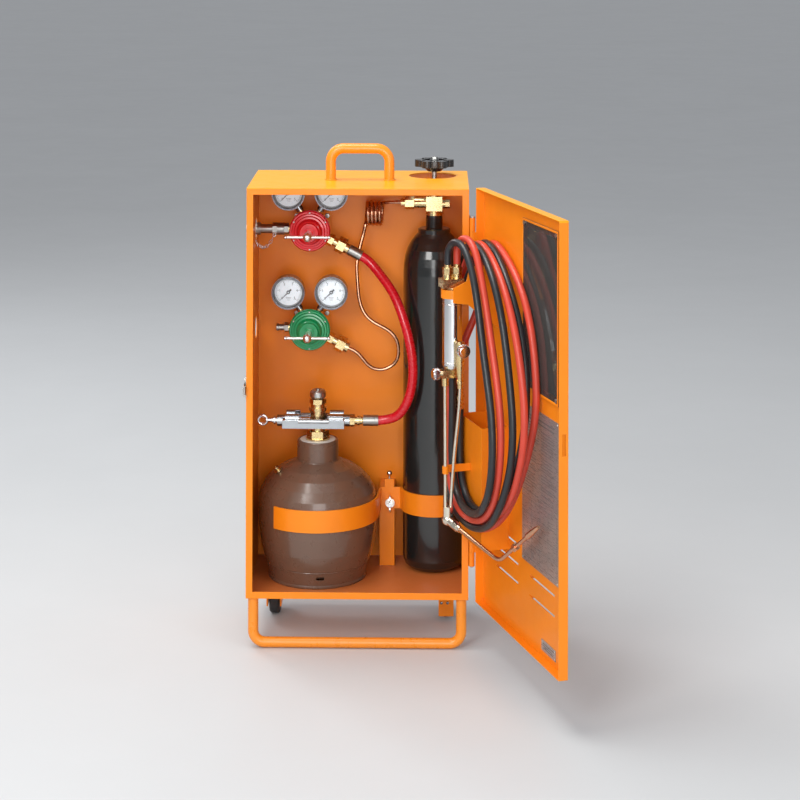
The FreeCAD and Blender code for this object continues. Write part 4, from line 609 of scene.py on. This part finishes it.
# ------------------------------------------------------------------ stage: floor, light, camera
me = bpy.data.meshes.new("floor")
me.from_pydata([(-30, -30, 0), (30, -30, 0), (30, 30, 0), (-30, 30, 0)], [], [(0, 1, 2, 3)])
floor = bpy.data.objects.new("floor", me)
bpy.context.scene.collection.objects.link(floor)
floor_mat = Mat("floor_grey", srgb(196, 198, 200), rough=0.55, var=0.02, vscale=1.5, bump=0.03, bscale=60, rvar=0.05)
set_mat(floor, floor_mat)

world = bpy.data.worlds.new("studio")
bpy.context.scene.world = world
world.use_nodes = True
wn = world.node_tree
bg = wn.nodes["Background"]
tc = wn.nodes.new("ShaderNodeTexCoord")
sx = wn.nodes.new("ShaderNodeSeparateXYZ")
rp = wn.nodes.new("ShaderNodeValToRGB")
rp.color_ramp.elements[0].position = 0.35
rp.color_ramp.elements[0].color = (0.55, 0.56, 0.58, 1)
rp.color_ramp.elements[1].position = 1.0
rp.color_ramp.elements[1].color = (0.78, 0.80, 0.83, 1)
wn.links.new(tc.outputs["Generated"], sx.inputs["Vector"])
wn.links.new(sx.outputs["Z"], rp.inputs["Fac"])
wn.links.new(rp.outputs["Color"], bg.inputs["Color"])
bg.inputs["Strength"].default_value = 0.75


def area(name, at, target, size, power, color=(1, 1, 1), size_y=None):
    l = bpy.data.lights.new(name, "AREA")
    l.shape = "RECTANGLE"
    l.size = size
    l.size_y = size_y or size
    l.energy = power
    l.color = color
    o = bpy.data.objects.new(name, l)
    bpy.context.scene.collection.objects.link(o)
    o.location = at
    o.rotation_euler = (Vector(target) - Vector(at)).to_track_quat("-Z", "Y").to_euler()
    return o


area("key", (-1.1, -2.8, 2.0), (0, 0, 0.4), 1.3, 46, (1.0, 0.985, 0.96))
area("top", (-0.5, -0.2, 2.8), (0, 0, 0.7), 1.3, 46, (1.0, 0.98, 0.94))
area("front", (0.3, -3.9, 1.0), (0, 0, 0.45), 1.7, 42, (1.0, 1.0, 1.0))
area("fill", (2.2, -2.2, 1.3), (0, 0, 0.4), 0.7, 9, (0.96, 0.98, 1.0), 1.5)
area("back", (-1.9, 2.0, 2.4), (0, 0, 0.5), 0.9, 26, (0.96, 0.98, 1.0))

cam_data = bpy.data.cameras.new("camera")
cam = bpy.data.objects.new("camera", cam_data)
bpy.context.scene.collection.objects.link(cam)
R = math.radians
cam.matrix_world = (Matrix.Translation((0.12975, -3.6026, 1.256)) @ Matrix.Rotation(R(0.997), 4, "Z") @ Matrix.Rotation(R(0.15), 4, "X")
                    @ Matrix.Rotation(R(-0.129), 4, "Y") @ Matrix.Rotation(R(90), 4, "X"))
cam_data.lens = 94.47
cam_data.sensor_width = 36.0
cam_data.sensor_fit = "HORIZONTAL"
cam_data.clip_end = 200
SHIFT = -0.6389
cam_data.shift_y = SHIFT
# the lens shift belongs to the main view only: any other camera place gets a plain lens
dr = cam_data.driver_add("shift_y").driver
dr.type = "SCRIPTED"
for key, kind in (("lx", "LOC_X"), ("lz", "LOC_Z")):
    v = dr.variables.new()
    v.name = key
    v.type = "TRANSFORMS"
    v.targets[0].id = cam
    v.targets[0].transform_type = kind
    v.targets[0].transform_space = "WORLD_SPACE"
dr.expression = "%.4f if fabs(lx - 0.12975) < 0.01 and fabs(lz - 1.256) < 0.01 else 0.0" % SHIFT
bpy.context.scene.camera = cam
bpy.context.scene.view_settings.view_transform = "Standard"
bpy.context.scene.view_settings.look = "None"
